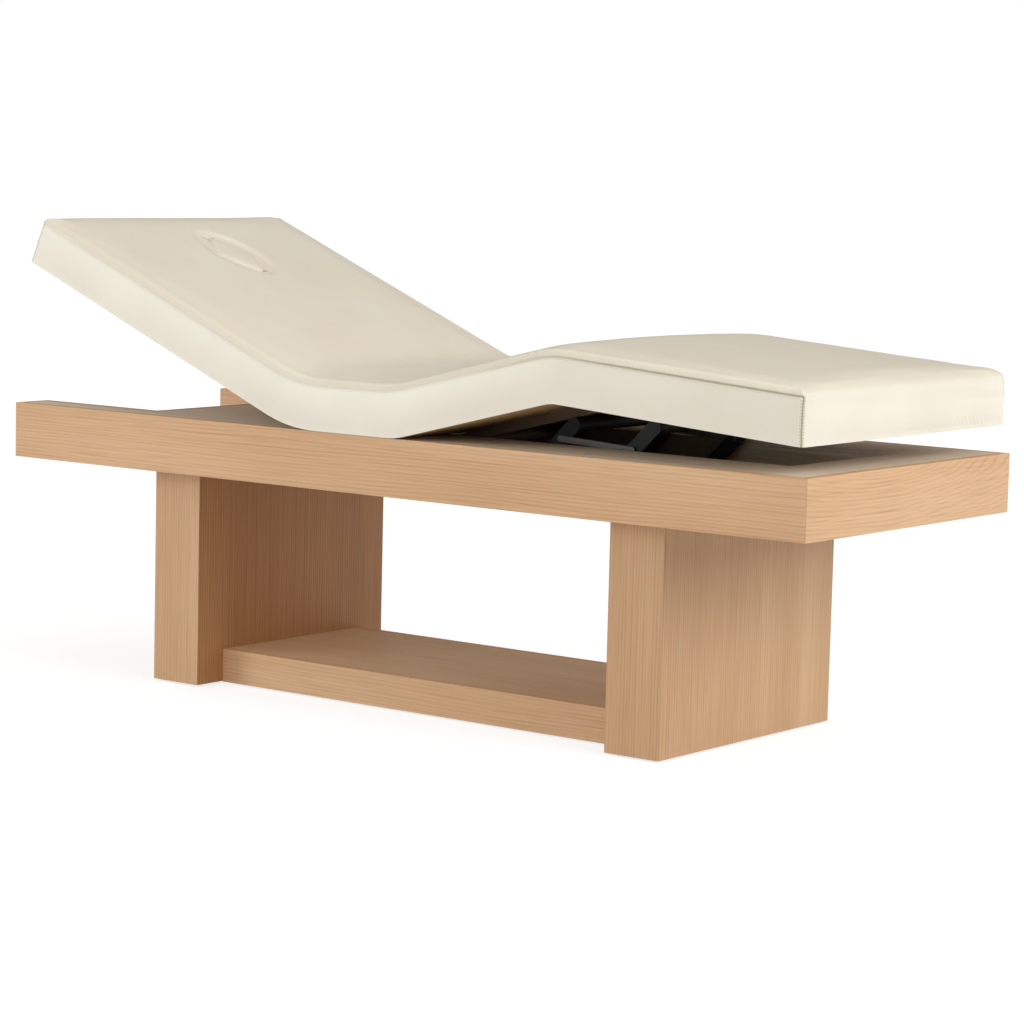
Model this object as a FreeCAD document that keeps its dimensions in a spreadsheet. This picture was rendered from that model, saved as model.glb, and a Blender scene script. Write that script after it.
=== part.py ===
import FreeCAD, Part
import math
import os
import re
import Sketcher
from FreeCAD import Placement, Rotation, Vector

# Spa bed: a boxed wooden tray on two slab legs with a low shelf between them, and one long
# mattress whose back, thigh and leg sections are lifted by steel gear hidden in the tray.
# Millimetres. +X points to the foot end, +Y to the far side, +Z up. The origin is on the floor
# under the middle of the tray. The modelled pose is the one in the photograph: back raised,
# knees raised.

SIZES = {
    # Tray
    "tray_length": 2000.0,
    "tray_width": 740.0,
    "tray_top": 570.0,
    "tray_depth": 116.0,
    "panel": 19.0,
    "deck_thickness": 18.0,
    "bottom_thickness": 12.0,
    "bottom_recess": 6.0,
    "arm_width": 95.0,
    "notch_length": 327.0,
    "well_side_margin": 173.0,
    "well_foot_margin": 143.0,
    "well_head_margin": 220.0,
    # Slab legs
    "slab_thickness": 125.0,
    "slab_end_inset": 350.0,
    "slab_side_inset": 70.0,
    "core_thickness": 18.0,
    "glide_height": 4.0,
    "glide_radius": 15.0,
    "glide_side_inset": 46.0,
    "glide_end_inset": 40.0,
    "bolt_radius": 4.0,
    "bolt_hole_gap": 0.25,
    "bolt_length": 34.0,
    "bolt_head_radius": 7.0,
    "bolt_head_height": 5.0,
    "bolt_side_inset": 44.0,
    "bolt_end_inset": 42.0,
    # Shelf
    "shelf_height": 73.0,
    "shelf_width": 444.0,
    "shelf_clearance": 3.0,
    # Mattress sections
    "thigh_axis_from_middle": 59.0,
    "seat_length": 279.0,
    "thigh_length": 386.0,
    "leg_length": 555.0,
    "back_length": 803.0,
    "axis_drop": 15.0,
    "section_lift": 0.5,
    "back_rest_deg": 22.4,
    "back_raise_deg": 42.6,
    "thigh_rest_deg": 14.2,
    "thigh_raise_deg": 3.0,
    "leg_rest_deg": 4.2,
    "mattress_side_inset": 1.0,
    "mattress_thickness": 106.0,
    "crown": 8.0,
    "side_draw": 3.0,
    "top_corner_radius": 22.0,
    "end_radius": 28.0,
    "plan_radius": 8.0,
    "board_thickness": 15.0,
    "board_inset": 4.0,
    "board_end_gap": 0.6,
    "hip_board_gap": 52.0,
    "back_wedge_deg": 34.0,
    "thigh_wedge_deg": 9.6,
    "knee_wedge_deg": 0.5,
    "fold_gap_deg": 0.6,
    # Face plug
    "plug_length": 170.0,
    "plug_width": 104.0,
    "plug_from_head": 223.0,
    "plug_gap": 1.0,
    "plug_ledge": 9.0,
    "plug_recess": 2.0,
    "plug_edge_radius": 7.0,
    # Hinges and rails
    "pivot_radius": 8.0,
    "pivot_clearance": 0.06,
    "hinge_tube_radius": 13.0,
    "hinge_tube_end_gap": 5.0,
    "plate_thickness": 6.0,
    "plate_floor_gap": 2.0,
    "plate_top_gap": 3.0,
    "plate_head_reach": 42.0,
    "plate_foot_reach": 42.0,
    "rail_width": 30.0,
    "rail_height": 20.0,
    "rail_wall_gap": 32.0,
    "back_rail_reach": 205.0,
    "leg_rail_reach": 390.0,
    "knee_rail_gap": 14.0,
    "lug_thickness": 6.0,
    "lug_radius": 12.0,
    "lug_reach": 70.0,
    "knee_pin_radius": 5.0,
    # Lift gear
    "lift_shaft_radius": 10.0,
    "bush_wall": 3.0,
    "bush_flange": 3.0,
    "bush_flange_height": 2.5,
    "lift_axis_drop": 69.5,
    "thigh_lift_offset": 178.0,
    "leg_lift_spacing": 171.0,
    "leg_lift_drop": 9.5,
    "lift_rest_deg": 45.0,
    "lift_ratio": 2.215,
    "thigh_arm_length": 151.5,
    "leg_arm_length": 178.0,
    "arm_half_width": 15.0,
    "arm_thickness": 6.0,
    "arm_rail_gap": 7.0,
    "lift_bar_radius": 14.0,
    "cam_gap": 0.5,
    "cam_width": 20.0,
    "cam_end_reach": 12.0,
    "tie_reach": 112.0,
    "tie_half_width": 6.0,
    "tie_thickness": 5.0,
    "tie_gap": 0.5,
    "tie_pin_radius": 4.0,
    "tie_open_gap": 0.6,
    # Actuators
    "back_lever_length": 56.0,
    "back_lever_half_width": 11.0,
    "back_pin_radius": 6.0,
    "back_slot_gap": 1.2,
    "back_drive_y": -50.0,
    "thigh_lever_length": 26.0,
    "thigh_lever_half_width": 8.0,
    "thigh_pin_radius": 4.0,
    "thigh_slot_gap": 0.6,
    "thigh_drive_y": 55.0,
    "lever_thickness": 8.0,
    "lever_head_gap": 0.5,
    "head_thickness": 10.0,
    "head_wall": 7.0,
    "rod_radius": 5.0,
    "rod_gap": 0.8,
    "drive_tube_radius": 12.0,
    "drive_stand_off": 46.0,
    "drive_tube_length": 175.0,
    "rod_length": 150.0,
    "gear_box_length": 55.0,
    "gear_box_half": 20.0,
    "motor_length": 62.0,
    "motor_radius": 17.0,
    "drive_lug_length": 34.0,
    "drive_lug_half": 15.0,
    "cross_tube_radius": 10.0,
    # Supply
    "control_plate_gap": 47.0,
    "control_length": 140.0,
    "control_width": 120.0,
    "control_height": 42.0,
    "control_edge": 4.0,
    "inlet_from_foot": 92.0,
    "inlet_length": 48.0,
    "inlet_width": 28.0,
    "inlet_depth": 26.0,
    "inlet_flange": 5.0,
    "inlet_flange_height": 3.0,
    "inlet_wall": 4.0,
    "inlet_floor": 5.0,
    "inlet_pin_length": 14.0,
    "inlet_pin_width": 4.0,
    "inlet_pin_thickness": 2.0,
    "inlet_gap": 0.3,
    "inlet_pin_spacing": 14.0,
    # Every cutting tool runs this far past what it cuts
    "overrun": 5.0,
}

# Sizes that follow from the ones above
WORKED = {
    "half_length": "tray_length / 2",
    "half_width": "tray_width / 2",
    "tray_bottom": "tray_top - tray_depth",
    "deck_under": "tray_top - deck_thickness",
    "slab_top": "tray_bottom + bottom_recess",
    "well_floor": "slab_top + bottom_thickness",
    "notch_x": "notch_length - half_length",
    "notch_y": "half_width - arm_width",
    "well_y": "half_width - well_side_margin",
    "well_head": "back_x - well_head_margin",
    "well_foot": "half_length - well_foot_margin",
    "slab_out": "half_length - slab_end_inset",
    "slab_in": "slab_out - slab_thickness",
    "slab_middle": "slab_out - slab_thickness / 2",
    "slab_y": "half_width - slab_side_inset",
    "shelf_y": "shelf_width / 2",
    "bolt_x": "slab_thickness / 2 - bolt_end_inset",
    "bolt_y": "slab_y - bolt_side_inset",
    "axis_z": "tray_top - axis_drop",
    "thigh_x": "thigh_axis_from_middle",
    "back_x": "thigh_x - seat_length",
    "knee_x": "thigh_x + thigh_length * cos(thigh_rest_deg)",
    "knee_z": "axis_z + thigh_length * sin(thigh_rest_deg)",
    "under": "axis_drop + section_lift",
    "board_top": "under + board_thickness",
    "crest": "under + mattress_thickness",
    "mattress_width": "tray_width - 2 * mattress_side_inset",
    "board_y": "mattress_width / 2 - board_inset",
    "back_board_start": "board_top * tan(back_wedge_deg) + hip_board_gap",
    "thigh_board_start": "board_top * tan(thigh_wedge_deg) + board_end_gap",
    "knee_board_gap": "board_top * tan(knee_wedge_deg) + board_end_gap",
    "plug_x": "plug_from_head - back_length",
    "rail_out": "well_y - rail_wall_gap",
    "rail_in": "rail_out - rail_width",
    "rail_low": "under - rail_height",
    "plate_in": "well_y - plate_thickness",
    "plate_low": "well_floor + plate_floor_gap",
    "plate_high": "tray_top - plate_top_gap",
    "plate_head": "back_x - plate_head_reach",
    "plate_foot": "leg_lift_x + plate_foot_reach",
    "hinge_tube_y": "plate_in - hinge_tube_end_gap",
    "lift_x": "thigh_x + thigh_lift_offset",
    "lift_z": "tray_top - lift_axis_drop",
    "leg_lift_x": "lift_x + leg_lift_spacing",
    "leg_lift_z": "lift_z - leg_lift_drop",
    "arm_y": "rail_out + arm_rail_gap",
    "arm_out": "arm_y + arm_thickness",
    "tie_y": "arm_out + tie_gap",
    "tie_out": "tie_y + tie_thickness",
    "tie_x": "lift_x + tie_reach * cos(lift_rest_deg)",
    "tie_z": "lift_z + tie_reach * sin(lift_rest_deg)",
    "tie_length": "sqrt(leg_lift_spacing ^ 2 + leg_lift_drop ^ 2)",
    "tie_deg": "atan(leg_lift_drop / leg_lift_spacing) / 1 deg",
    "back_half_swing": "(back_rest_deg + back_raise_deg) / 2",
    "back_lever_lean": "(back_raise_deg - back_rest_deg) / 2",
    "back_pin_x": "back_x + back_lever_length * sin(back_lever_lean)",
    "back_slot_high": "back_lever_length * (1 - cos(back_half_swing))",
    "back_rod_z": "axis_z - back_lever_length + back_slot_high / 2",
    "lift_half_swing": "lift_ratio * (thigh_rest_deg + thigh_raise_deg) / 2",
    "thigh_lever_lean": "lift_ratio * (thigh_rest_deg - thigh_raise_deg) / 2",
    "thigh_pin_x": "lift_x - thigh_lever_length * sin(thigh_lever_lean)",
    "thigh_slot_high": "thigh_lever_length * (1 - cos(lift_half_swing))",
    "thigh_rod_z": "lift_z + thigh_lever_length - thigh_slot_high / 2",
    "control_x": "plate_foot + control_plate_gap + control_length",
    "inlet_x": "half_length - inlet_from_foot",
}

# Turned frames: the X and Z of a pivot and how far the piece leans at rest, in degrees about +Y
FRAMES = {
    "back": ("back_x", "axis_z", "back_rest_deg"),
    "thigh": ("thigh_x", "axis_z", "-thigh_rest_deg"),
    "leg": ("knee_x", "knee_z", "leg_rest_deg"),
    "thigh_arm": ("lift_x", "lift_z", "-lift_rest_deg"),
    "leg_arm": ("leg_lift_x", "leg_lift_z", "-lift_rest_deg"),
    "tie": ("tie_x", "tie_z", "tie_deg"),
    "back_lever": ("back_x", "axis_z", "-back_lever_lean"),
    "thigh_lever": ("lift_x", "lift_z", "-thigh_lever_lean"),
}

# Shares of the roll radius at which a rolled edge is cut into flats
ROLL_SHARES = (0.0, 0.5, 0.87, 1.0)
# Flats of a fold of the mattress, and of the cam that the leg section rides on
FOLD_STEPS = 4
CAM_STEPS = 12
# The angle between two places of the lift bar that give its direction of travel
CAM_NUDGE_DEG = 0.01

doc = FreeCAD.newDocument("spa_bed")
sheet = doc.addObject("Spreadsheet::Sheet", "Sizes")
for row, (name, size) in enumerate(SIZES.items(), start=1):
    sheet.set("A%d" % row, name)
    sheet.set("B%d" % row, str(size))
    sheet.setAlias("B%d" % row, name)
doc.recompute()


def bound(text):
    """Write an expression with the table or the worked set that each of its names stands in."""

    def owner(match):
        word = match.group(0)
        if word in SIZES:
            return "Sizes." + word
        if word in WORKED:
            return "Worked." + word
        return word

    return re.sub(r"[a-z_]+", owner, text)


worked = doc.addObject("App::VarSet", "Worked")
for name in WORKED:
    worked.addProperty("App::PropertyFloat", name, "Worked", name.replace("_", " "))
for name, text in WORKED.items():
    worked.setExpression(name, bound(text))
doc.recompute()


def size(name):
    """Read one size, driving or worked, as a number."""
    if name in WORKED:
        return float(getattr(worked, name))
    return float(sheet.get(name))


PIECES = {}


def keep(piece, label):
    """Name a finished sub-part and put it among those that are written out."""
    piece.Label = label
    PIECES[label] = piece
    return piece


def place(piece, x="0", y="0", z="0", frame=None):
    """Put a piece at a point of the room, or of a turned frame and leaning with it."""
    if frame is None:
        piece.setExpression("Placement.Base.x", bound(x))
        piece.setExpression("Placement.Base.y", bound(y))
        piece.setExpression("Placement.Base.z", bound(z))
        return
    pivot_x, pivot_z, lean = FRAMES[frame]
    piece.setExpression(
        "Placement.Base.x", bound("%s + (%s) * cos(%s) + (%s) * sin(%s)" % (pivot_x, x, lean, z, lean))
    )
    piece.setExpression("Placement.Base.y", bound(y))
    piece.setExpression(
        "Placement.Base.z", bound("%s - (%s) * sin(%s) + (%s) * cos(%s)" % (pivot_z, x, lean, z, lean))
    )


def lean(piece, frame):
    """Bind a piece's turn about +Y to the lean of its frame."""
    piece.Placement = Placement(Vector(), Rotation(Vector(0, 1, 0), 1))
    piece.setExpression("Placement.Rotation.Angle", bound(FRAMES[frame][2]))


def span(pair):
    """The length from the first to the second of two expressions."""
    return "(%s) - (%s)" % (pair[1], pair[0])


def slab(x, y, z, frame=None, label=None):
    """A box between pairs of expressions."""
    piece = doc.addObject("Part::Box", "slab")
    piece.setExpression("Length", bound(span(x)))
    piece.setExpression("Width", bound(span(y)))
    piece.setExpression("Height", bound(span(z)))
    if frame:
        lean(piece, frame)
    place(piece, x[0], y[0], z[0], frame)
    return keep(piece, label) if label else piece


def cylinder(radius, length, turn):
    """A cylinder of bound radius and length, turned from +Z to the wanted axis."""
    piece = doc.addObject("Part::Cylinder", "rod")
    piece.setExpression("Radius", bound(radius))
    piece.setExpression("Height", bound(length))
    piece.Placement = Placement(Vector(), turn)
    return piece


def cross_rod(x, z, y, radius, frame=None, label=None):
    """A round rod along Y."""
    piece = cylinder(radius, span(y), Rotation(Vector(1, 0, 0), -90))
    place(piece, x, y[0], z, frame)
    return keep(piece, label) if label else piece


def long_rod(y, z, x, radius, label=None):
    """A round rod along X."""
    piece = cylinder(radius, span(x), Rotation(Vector(0, 1, 0), 90))
    place(piece, x[0], y, z)
    return keep(piece, label) if label else piece


def upright_rod(x, y, z, radius, label=None):
    """A round rod along Z."""
    piece = cylinder(radius, span(z), Rotation())
    place(piece, x, y, z[0])
    return keep(piece, label) if label else piece


def fuse(pieces, label=None):
    """Join pieces that are welded or moulded as one."""
    joined = doc.addObject("Part::MultiFuse", "joined")
    joined.Shapes = pieces
    joined.Refine = True
    return keep(joined, label) if label else joined


def group(pieces, label):
    """Hold separate solids of one kind in one sub-part."""
    held = doc.addObject("Part::Compound", "group")
    held.Links = pieces
    return keep(held, label)


def cut(base, tools, label=None):
    """Take tools away from a base."""
    result = doc.addObject("Part::Cut", "cut")
    result.Base = base
    result.Tool = tools[0] if len(tools) == 1 else fuse(tools)
    return keep(result, label) if label else result


def outline_sketch(body, points, name):
    """A closed outline on the body's own XY plane, each corner bound to a pair of expressions."""
    sketch = body.newObject("Sketcher::SketchObject", name)
    plane = [item for item in body.Origin.OriginFeatures if item.Role == "XY_Plane"][0]
    sketch.AttachmentSupport = [(plane, "")]
    sketch.MapMode = "FlatFace"
    count = len(points)
    full_turn = 2 * math.pi
    corners = [
        Vector(math.cos(full_turn * index / count), math.sin(full_turn * index / count), 0)
        for index in range(count)
    ]
    for index in range(count):
        sketch.addGeometry(Part.LineSegment(corners[index], corners[(index + 1) % count]))
    for index in range(count):
        sketch.addConstraint(Sketcher.Constraint("Coincident", index, 2, (index + 1) % count, 1))
    for index, (along, across) in enumerate(points):
        for kind, start, text in (
            ("DistanceX", corners[index].x, along),
            ("DistanceY", corners[index].y, across),
        ):
            place_of = sketch.addConstraint(Sketcher.Constraint(kind, -1, 1, index, 1, start))
            sketch.renameConstraint(place_of, "%s_%d" % (kind, index))
            sketch.setExpression("Constraints.%s_%d" % (kind, index), bound(text))
    return sketch


def circle_sketch(body, circles, name):
    """Circles on the body's own XY plane: centre along, centre across and radius of each."""
    sketch = body.newObject("Sketcher::SketchObject", name)
    plane = [item for item in body.Origin.OriginFeatures if item.Role == "XY_Plane"][0]
    sketch.AttachmentSupport = [(plane, "")]
    sketch.MapMode = "FlatFace"
    for index, (along, across, radius) in enumerate(circles):
        sketch.addGeometry(Part.Circle(Vector(index, index, 0), Vector(0, 0, 1), 1))
        for kind, text in (("DistanceX", along), ("DistanceY", across)):
            place_of = sketch.addConstraint(Sketcher.Constraint(kind, -1, 1, index, 3, index))
            sketch.renameConstraint(place_of, "%s_%d" % (kind, index))
            sketch.setExpression("Constraints.%s_%d" % (kind, index), bound(text))
        girth = sketch.addConstraint(Sketcher.Constraint("Radius", index, 1))
        sketch.renameConstraint(girth, "Radius_%d" % index)
        sketch.setExpression("Constraints.Radius_%d" % index, bound(radius))
    return sketch


def panel(points, z, label=None, windows=(), holes=()):
    """A board: an outline in plan, padded upwards, with windows and round holes through it."""
    body = doc.addObject("PartDesign::Body", "board_body")
    pad = body.newObject("PartDesign::Pad", "board")
    pad.Profile = outline_sketch(body, points, "outline")
    pad.setExpression("Length", bound(span(z)))
    sketches = [outline_sketch(body, window, "window") for window in windows]
    if holes:
        sketches.append(circle_sketch(body, holes, "holes"))
    for sketch in sketches:
        doc.recompute()
        before = pad.Shape.Volume
        pocket = body.newObject("PartDesign::Pocket", "opening")
        pocket.Profile = sketch
        pocket.Type = "Length"
        pocket.Reversed = True
        pocket.setExpression("Length", bound("(%s) + overrun" % span(z)))
        doc.recompute()
        if not pocket.Shape.Volume < before:
            raise ValueError("%s: an opening takes nothing away" % label)
    place(body, "0", "0", z[0])
    return keep(body, label) if label else body


def mirrored_span(low, high, side):
    """A span across Y between two distances from the middle, on the near or the far side."""
    if side == "near":
        return ("-(%s)" % high, "-(%s)" % low)
    return (low, high)


SIDES = ("near", "far")


# Tray: long and end aprons, mitred at every corner

def apron_rectangle(x_out, x_in, y_out, y_in):
    """The four corners of a mitred board that runs along X."""
    return [(x_out[0], y_out), (x_out[1], y_out), (x_in[1], y_in), (x_in[0], y_in)]


WHOLE_HEIGHT = ("tray_bottom", "tray_top")
for side in SIDES:
    sign = "-" if side == "near" else ""
    panel(
        apron_rectangle(
            ("-half_length", "half_length"),
            ("-half_length + panel", "half_length - panel"),
            "%shalf_width" % sign,
            "%s(half_width - panel)" % sign,
        ),
        WHOLE_HEIGHT,
        side + "_apron",
    )
panel(
    [
        ("half_length", "-half_width"),
        ("half_length", "half_width"),
        ("half_length - panel", "half_width - panel"),
        ("half_length - panel", "-half_width + panel"),
    ],
    WHOLE_HEIGHT,
    "foot_apron",
)
panel(
    [
        ("notch_x", "-notch_y"),
        ("notch_x", "notch_y"),
        ("notch_x + panel", "notch_y + panel"),
        ("notch_x + panel", "-notch_y - panel"),
    ],
    WHOLE_HEIGHT,
    "notch_back_lining",
)
arm_ends = []
notch_linings = []
for side in SIDES:
    sign = "-" if side == "near" else ""
    arm_ends.append(panel(
        [
            ("-half_length", "%shalf_width" % sign),
            ("-half_length + panel", "%s(half_width - panel)" % sign),
            ("-half_length + panel", "%s(notch_y + panel)" % sign),
            ("-half_length", "%snotch_y" % sign),
        ],
        WHOLE_HEIGHT,
    ))
    notch_linings.append(panel(
        [
            ("-half_length", "%snotch_y" % sign),
            ("-half_length + panel", "%s(notch_y + panel)" % sign),
            ("notch_x + panel", "%s(notch_y + panel)" % sign),
            ("notch_x", "%snotch_y" % sign),
        ],
        WHOLE_HEIGHT,
    ))
group(arm_ends, "arm_end_caps")
group(notch_linings, "notch_side_linings")

# Deck and bottom share the U-shaped outline inside the aprons
INSIDE_OUTLINE = [
    ("-half_length + panel", "-half_width + panel"),
    ("half_length - panel", "-half_width + panel"),
    ("half_length - panel", "half_width - panel"),
    ("-half_length + panel", "half_width - panel"),
    ("-half_length + panel", "notch_y + panel"),
    ("notch_x + panel", "notch_y + panel"),
    ("notch_x + panel", "-notch_y - panel"),
    ("-half_length + panel", "-notch_y - panel"),
]
WELL_WINDOW = [
    ("well_head", "-well_y"),
    ("well_foot", "-well_y"),
    ("well_foot", "well_y"),
    ("well_head", "well_y"),
]
panel(INSIDE_OUTLINE, ("deck_under", "tray_top"), "deck_panel", windows=[WELL_WINDOW])

BOLT_PLACES = [
    ("%s(slab_middle %s bolt_x)" % (end, step), "%sbolt_y" % side)
    for end in ("-", "")
    for step in ("-", "+")
    for side in ("-", "")
]
INLET_WINDOW = [
    ("inlet_x - inlet_length / 2 - inlet_gap", "-inlet_width / 2 - inlet_gap"),
    ("inlet_x + inlet_length / 2 + inlet_gap", "-inlet_width / 2 - inlet_gap"),
    ("inlet_x + inlet_length / 2 + inlet_gap", "inlet_width / 2 + inlet_gap"),
    ("inlet_x - inlet_length / 2 - inlet_gap", "inlet_width / 2 + inlet_gap"),
]
panel(
    INSIDE_OUTLINE,
    ("slab_top", "well_floor"),
    "tray_bottom_panel",
    windows=[INLET_WINDOW],
    holes=[(along, across, "bolt_radius + bolt_hole_gap") for along, across in BOLT_PLACES],
)
group(
    [
        slab(("well_head", "well_foot"), ("well_y", "well_y + panel"), ("well_floor", "deck_under")),
        slab(("well_head", "well_foot"), ("-well_y - panel", "-well_y"), ("well_floor", "deck_under")),
        slab(("well_head - panel", "well_head"), ("-well_y", "well_y"), ("well_floor", "deck_under")),
        slab(("well_foot", "well_foot + panel"), ("-well_y", "well_y"), ("well_floor", "deck_under")),
    ],
    "well_walls",
)

# Slab legs: four mitred panels round an upper and a lower core plate
SLAB_HEIGHT = ("glide_height", "slab_top")
core_plates = []
for end in ("head", "foot"):
    sign = "-" if end == "head" else ""
    panel(
        [
            ("%sslab_out" % sign, "-slab_y"),
            ("%sslab_out" % sign, "slab_y"),
            ("%s(slab_out - panel)" % sign, "slab_y - panel"),
            ("%s(slab_out - panel)" % sign, "-slab_y + panel"),
        ],
        SLAB_HEIGHT,
        end + "_slab_outer_panel",
    )
    panel(
        [
            ("%sslab_in" % sign, "-slab_y"),
            ("%sslab_in" % sign, "slab_y"),
            ("%s(slab_in + panel)" % sign, "slab_y - panel"),
            ("%s(slab_in + panel)" % sign, "-slab_y + panel"),
        ],
        SLAB_HEIGHT,
        end + "_slab_inner_panel",
    )
    edges = []
    for side in SIDES:
        other = "-" if side == "near" else ""
        edges.append(panel(
            [
                ("%sslab_out" % sign, "%sslab_y" % other),
                ("%sslab_in" % sign, "%sslab_y" % other),
                ("%s(slab_in + panel)" % sign, "%s(slab_y - panel)" % other),
                ("%s(slab_out - panel)" % sign, "%s(slab_y - panel)" % other),
            ],
            SLAB_HEIGHT,
        ))
    group(edges, end + "_slab_edges")
    inside = ("slab_in + panel", "slab_out - panel")
    if end == "head":
        inside = ("-slab_out + panel", "-slab_in - panel")
    across = ("-slab_y + panel", "slab_y - panel")
    core_plates.append(slab(inside, across, ("glide_height", "glide_height + core_thickness")))
    upper = slab(inside, across, ("slab_top - core_thickness", "slab_top"))
    drills = [
        upright_rod(along, aside, ("slab_top - core_thickness - overrun", "slab_top + overrun"),
                    "bolt_radius + bolt_hole_gap")
        for along, aside in BOLT_PLACES
        if along.startswith("-") == (end == "head")
    ]
    core_plates.append(cut(upper, drills))
group(core_plates, "slab_core_plates")

bolts = []
for along, aside in BOLT_PLACES:
    shank = upright_rod(along, aside, ("well_floor - bolt_length", "well_floor"), "bolt_radius")
    head = upright_rod(along, aside, ("well_floor", "well_floor + bolt_head_height"), "bolt_head_radius")
    bolts.append(fuse([shank, head]))
group(bolts, "slab_bolts")

glides = []
for end in ("-", ""):
    for step in ("-", "+"):
        for side in ("-", ""):
            glides.append(
                upright_rod(
                    "%s(slab_middle %s (slab_thickness / 2 - glide_end_inset))" % (end, step),
                    "%s(slab_y - glide_side_inset)" % side,
                    ("0", "glide_height"),
                    "glide_radius",
                )
            )
group(glides, "floor_glides")

# Shelf: a low box between the slabs
slab(("-slab_in", "slab_in"), ("-shelf_y + panel", "shelf_y - panel"),
     ("shelf_height - panel", "shelf_height"), label="shelf_top")
group(
    [slab(("-slab_in", "slab_in"), mirrored_span("shelf_y - panel", "shelf_y", side),
          ("shelf_clearance", "shelf_height"))
     for side in SIDES],
    "shelf_rails",
)
slab(("-panel / 2", "panel / 2"), ("-shelf_y + panel", "shelf_y - panel"),
     ("shelf_clearance", "shelf_height - panel"), label="shelf_rib")

# Fixed steel: side plates, pivot shafts and the tubes that the actuators push against
plate_holes = [
    ("back_x", "axis_z", "pivot_radius"),
    ("thigh_x", "axis_z", "pivot_radius"),
    ("lift_x", "lift_z", "lift_shaft_radius + bush_wall"),
    ("leg_lift_x", "leg_lift_z", "lift_shaft_radius + bush_wall"),
]
plates = []
for side in SIDES:
    blank = slab(("plate_head", "plate_foot"), mirrored_span("plate_in", "well_y", side),
                 ("plate_low", "plate_high"))
    drills = [
        cross_rod(x, z, mirrored_span("plate_in - overrun", "well_y + overrun", side), radius)
        for x, z, radius in plate_holes
    ]
    plates.append(cut(blank, drills))
group(plates, "side_plates")
cross_rod("back_x", "axis_z", ("-well_y", "well_y"), "pivot_radius", label="back_pivot_shaft")
cross_rod("thigh_x", "axis_z", ("-well_y", "well_y"), "pivot_radius", label="thigh_pivot_shaft")

bushes = []
for x, z in (("lift_x", "lift_z"), ("leg_lift_x", "leg_lift_z")):
    for side in SIDES:
        sleeve = cross_rod(x, z, mirrored_span("plate_in", "well_y", side), "lift_shaft_radius + bush_wall")
        flange = cross_rod(x, z, mirrored_span("plate_in - bush_flange_height", "plate_in", side),
                           "lift_shaft_radius + bush_wall + bush_flange")
        bore = cross_rod(x, z, mirrored_span("plate_in - overrun", "well_y + overrun", side),
                         "lift_shaft_radius + pivot_clearance")
        bushes.append(cut(fuse([sleeve, flange]), [bore]))
group(bushes, "lift_bushes")


def drive(label, pin_x, rod_z, centre_y, direction):
    """A linear actuator along X: a tube for the rod, a gear box, a motor and a slotted tail lug.

    direction is + when the body lies on the foot side of its lever and - when on the head side.
    """
    def along(start, length):
        near = "%s %s (%s)" % (pin_x, direction, start)
        far = "%s %s (%s + %s)" % (pin_x, direction, start, length)
        return (near, far) if direction == "+" else (far, near)

    box_start = "drive_stand_off + drive_tube_length"
    motor_start = box_start + " + gear_box_length"
    lug_start = motor_start + " + motor_length"
    tube = long_rod(centre_y, rod_z, along("drive_stand_off", "drive_tube_length"), "drive_tube_radius")
    box = slab(along(box_start, "gear_box_length"),
               ("%s - gear_box_half" % centre_y, "%s + gear_box_half" % centre_y),
               ("%s - gear_box_half" % rod_z, "%s + gear_box_half" % rod_z))
    motor = long_rod(centre_y, rod_z, along(motor_start, "motor_length"), "motor_radius")
    lug = slab(along(lug_start, "drive_lug_length"),
               ("%s - lug_thickness" % centre_y, "%s + lug_thickness" % centre_y),
               ("%s - drive_lug_half" % rod_z, "%s + drive_lug_half" % rod_z))
    bore = long_rod(centre_y, rod_z, along("drive_stand_off - overrun", "drive_tube_length"),
                    "rod_radius + rod_gap")
    tail = "%s %s (%s + drive_lug_half)" % (pin_x, direction, lug_start)
    eye = cross_rod(tail, rod_z, ("%s - gear_box_half" % centre_y, "%s + gear_box_half" % centre_y),
                    "cross_tube_radius")
    cut(fuse([tube, box, motor, lug]), [bore, eye], label=label)
    return cross_rod(tail, rod_z, ("-plate_in", "plate_in"), "cross_tube_radius")


back_tube = drive("back_actuator_body", "back_pin_x", "back_rod_z", "back_drive_y", "+")
thigh_tube = drive("thigh_actuator_body", "thigh_pin_x", "thigh_rod_z", "thigh_drive_y", "-")
group([back_tube, thigh_tube], "actuator_cross_tubes")


def push_rod(label, pin_x, rod_z, centre_y, direction, pin_radius, slot_gap, slot_high):
    """The moving rod of an actuator, with the slotted head that drives a lever's pin."""
    half_slot = "(%s + %s)" % (pin_radius, slot_gap)
    half_height = "(%s + %s / 2 + %s)" % (pin_radius, slot_high, slot_gap)
    head = slab(
        ("%s - %s - head_wall" % (pin_x, half_slot), "%s + %s + head_wall" % (pin_x, half_slot)),
        ("%s - head_thickness / 2" % centre_y, "%s + head_thickness / 2" % centre_y),
        ("%s - %s - head_wall" % (rod_z, half_height), "%s + %s + head_wall" % (rod_z, half_height)),
    )
    slot = slab(
        ("%s - %s" % (pin_x, half_slot), "%s + %s" % (pin_x, half_slot)),
        ("%s - head_thickness" % centre_y, "%s + head_thickness" % centre_y),
        ("%s - %s" % (rod_z, half_height), "%s + %s" % (rod_z, half_height)),
    )
    start = "%s %s (%s + head_wall / 2)" % (pin_x, direction, half_slot)
    end = "%s %s (%s + head_wall / 2 + rod_length)" % (pin_x, direction, half_slot)
    reach = (start, end) if direction == "+" else (end, start)
    rod = long_rod(centre_y, rod_z, reach, "rod_radius")
    fuse([cut(head, [slot]), rod], label=label)


push_rod("back_actuator_rod", "back_pin_x", "back_rod_z", "back_drive_y", "+",
         "back_pin_radius", "back_slot_gap", "back_slot_high")
push_rod("thigh_actuator_rod", "thigh_pin_x", "thigh_rod_z", "thigh_drive_y", "-",
         "thigh_pin_radius", "thigh_slot_gap", "thigh_slot_high")

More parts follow.
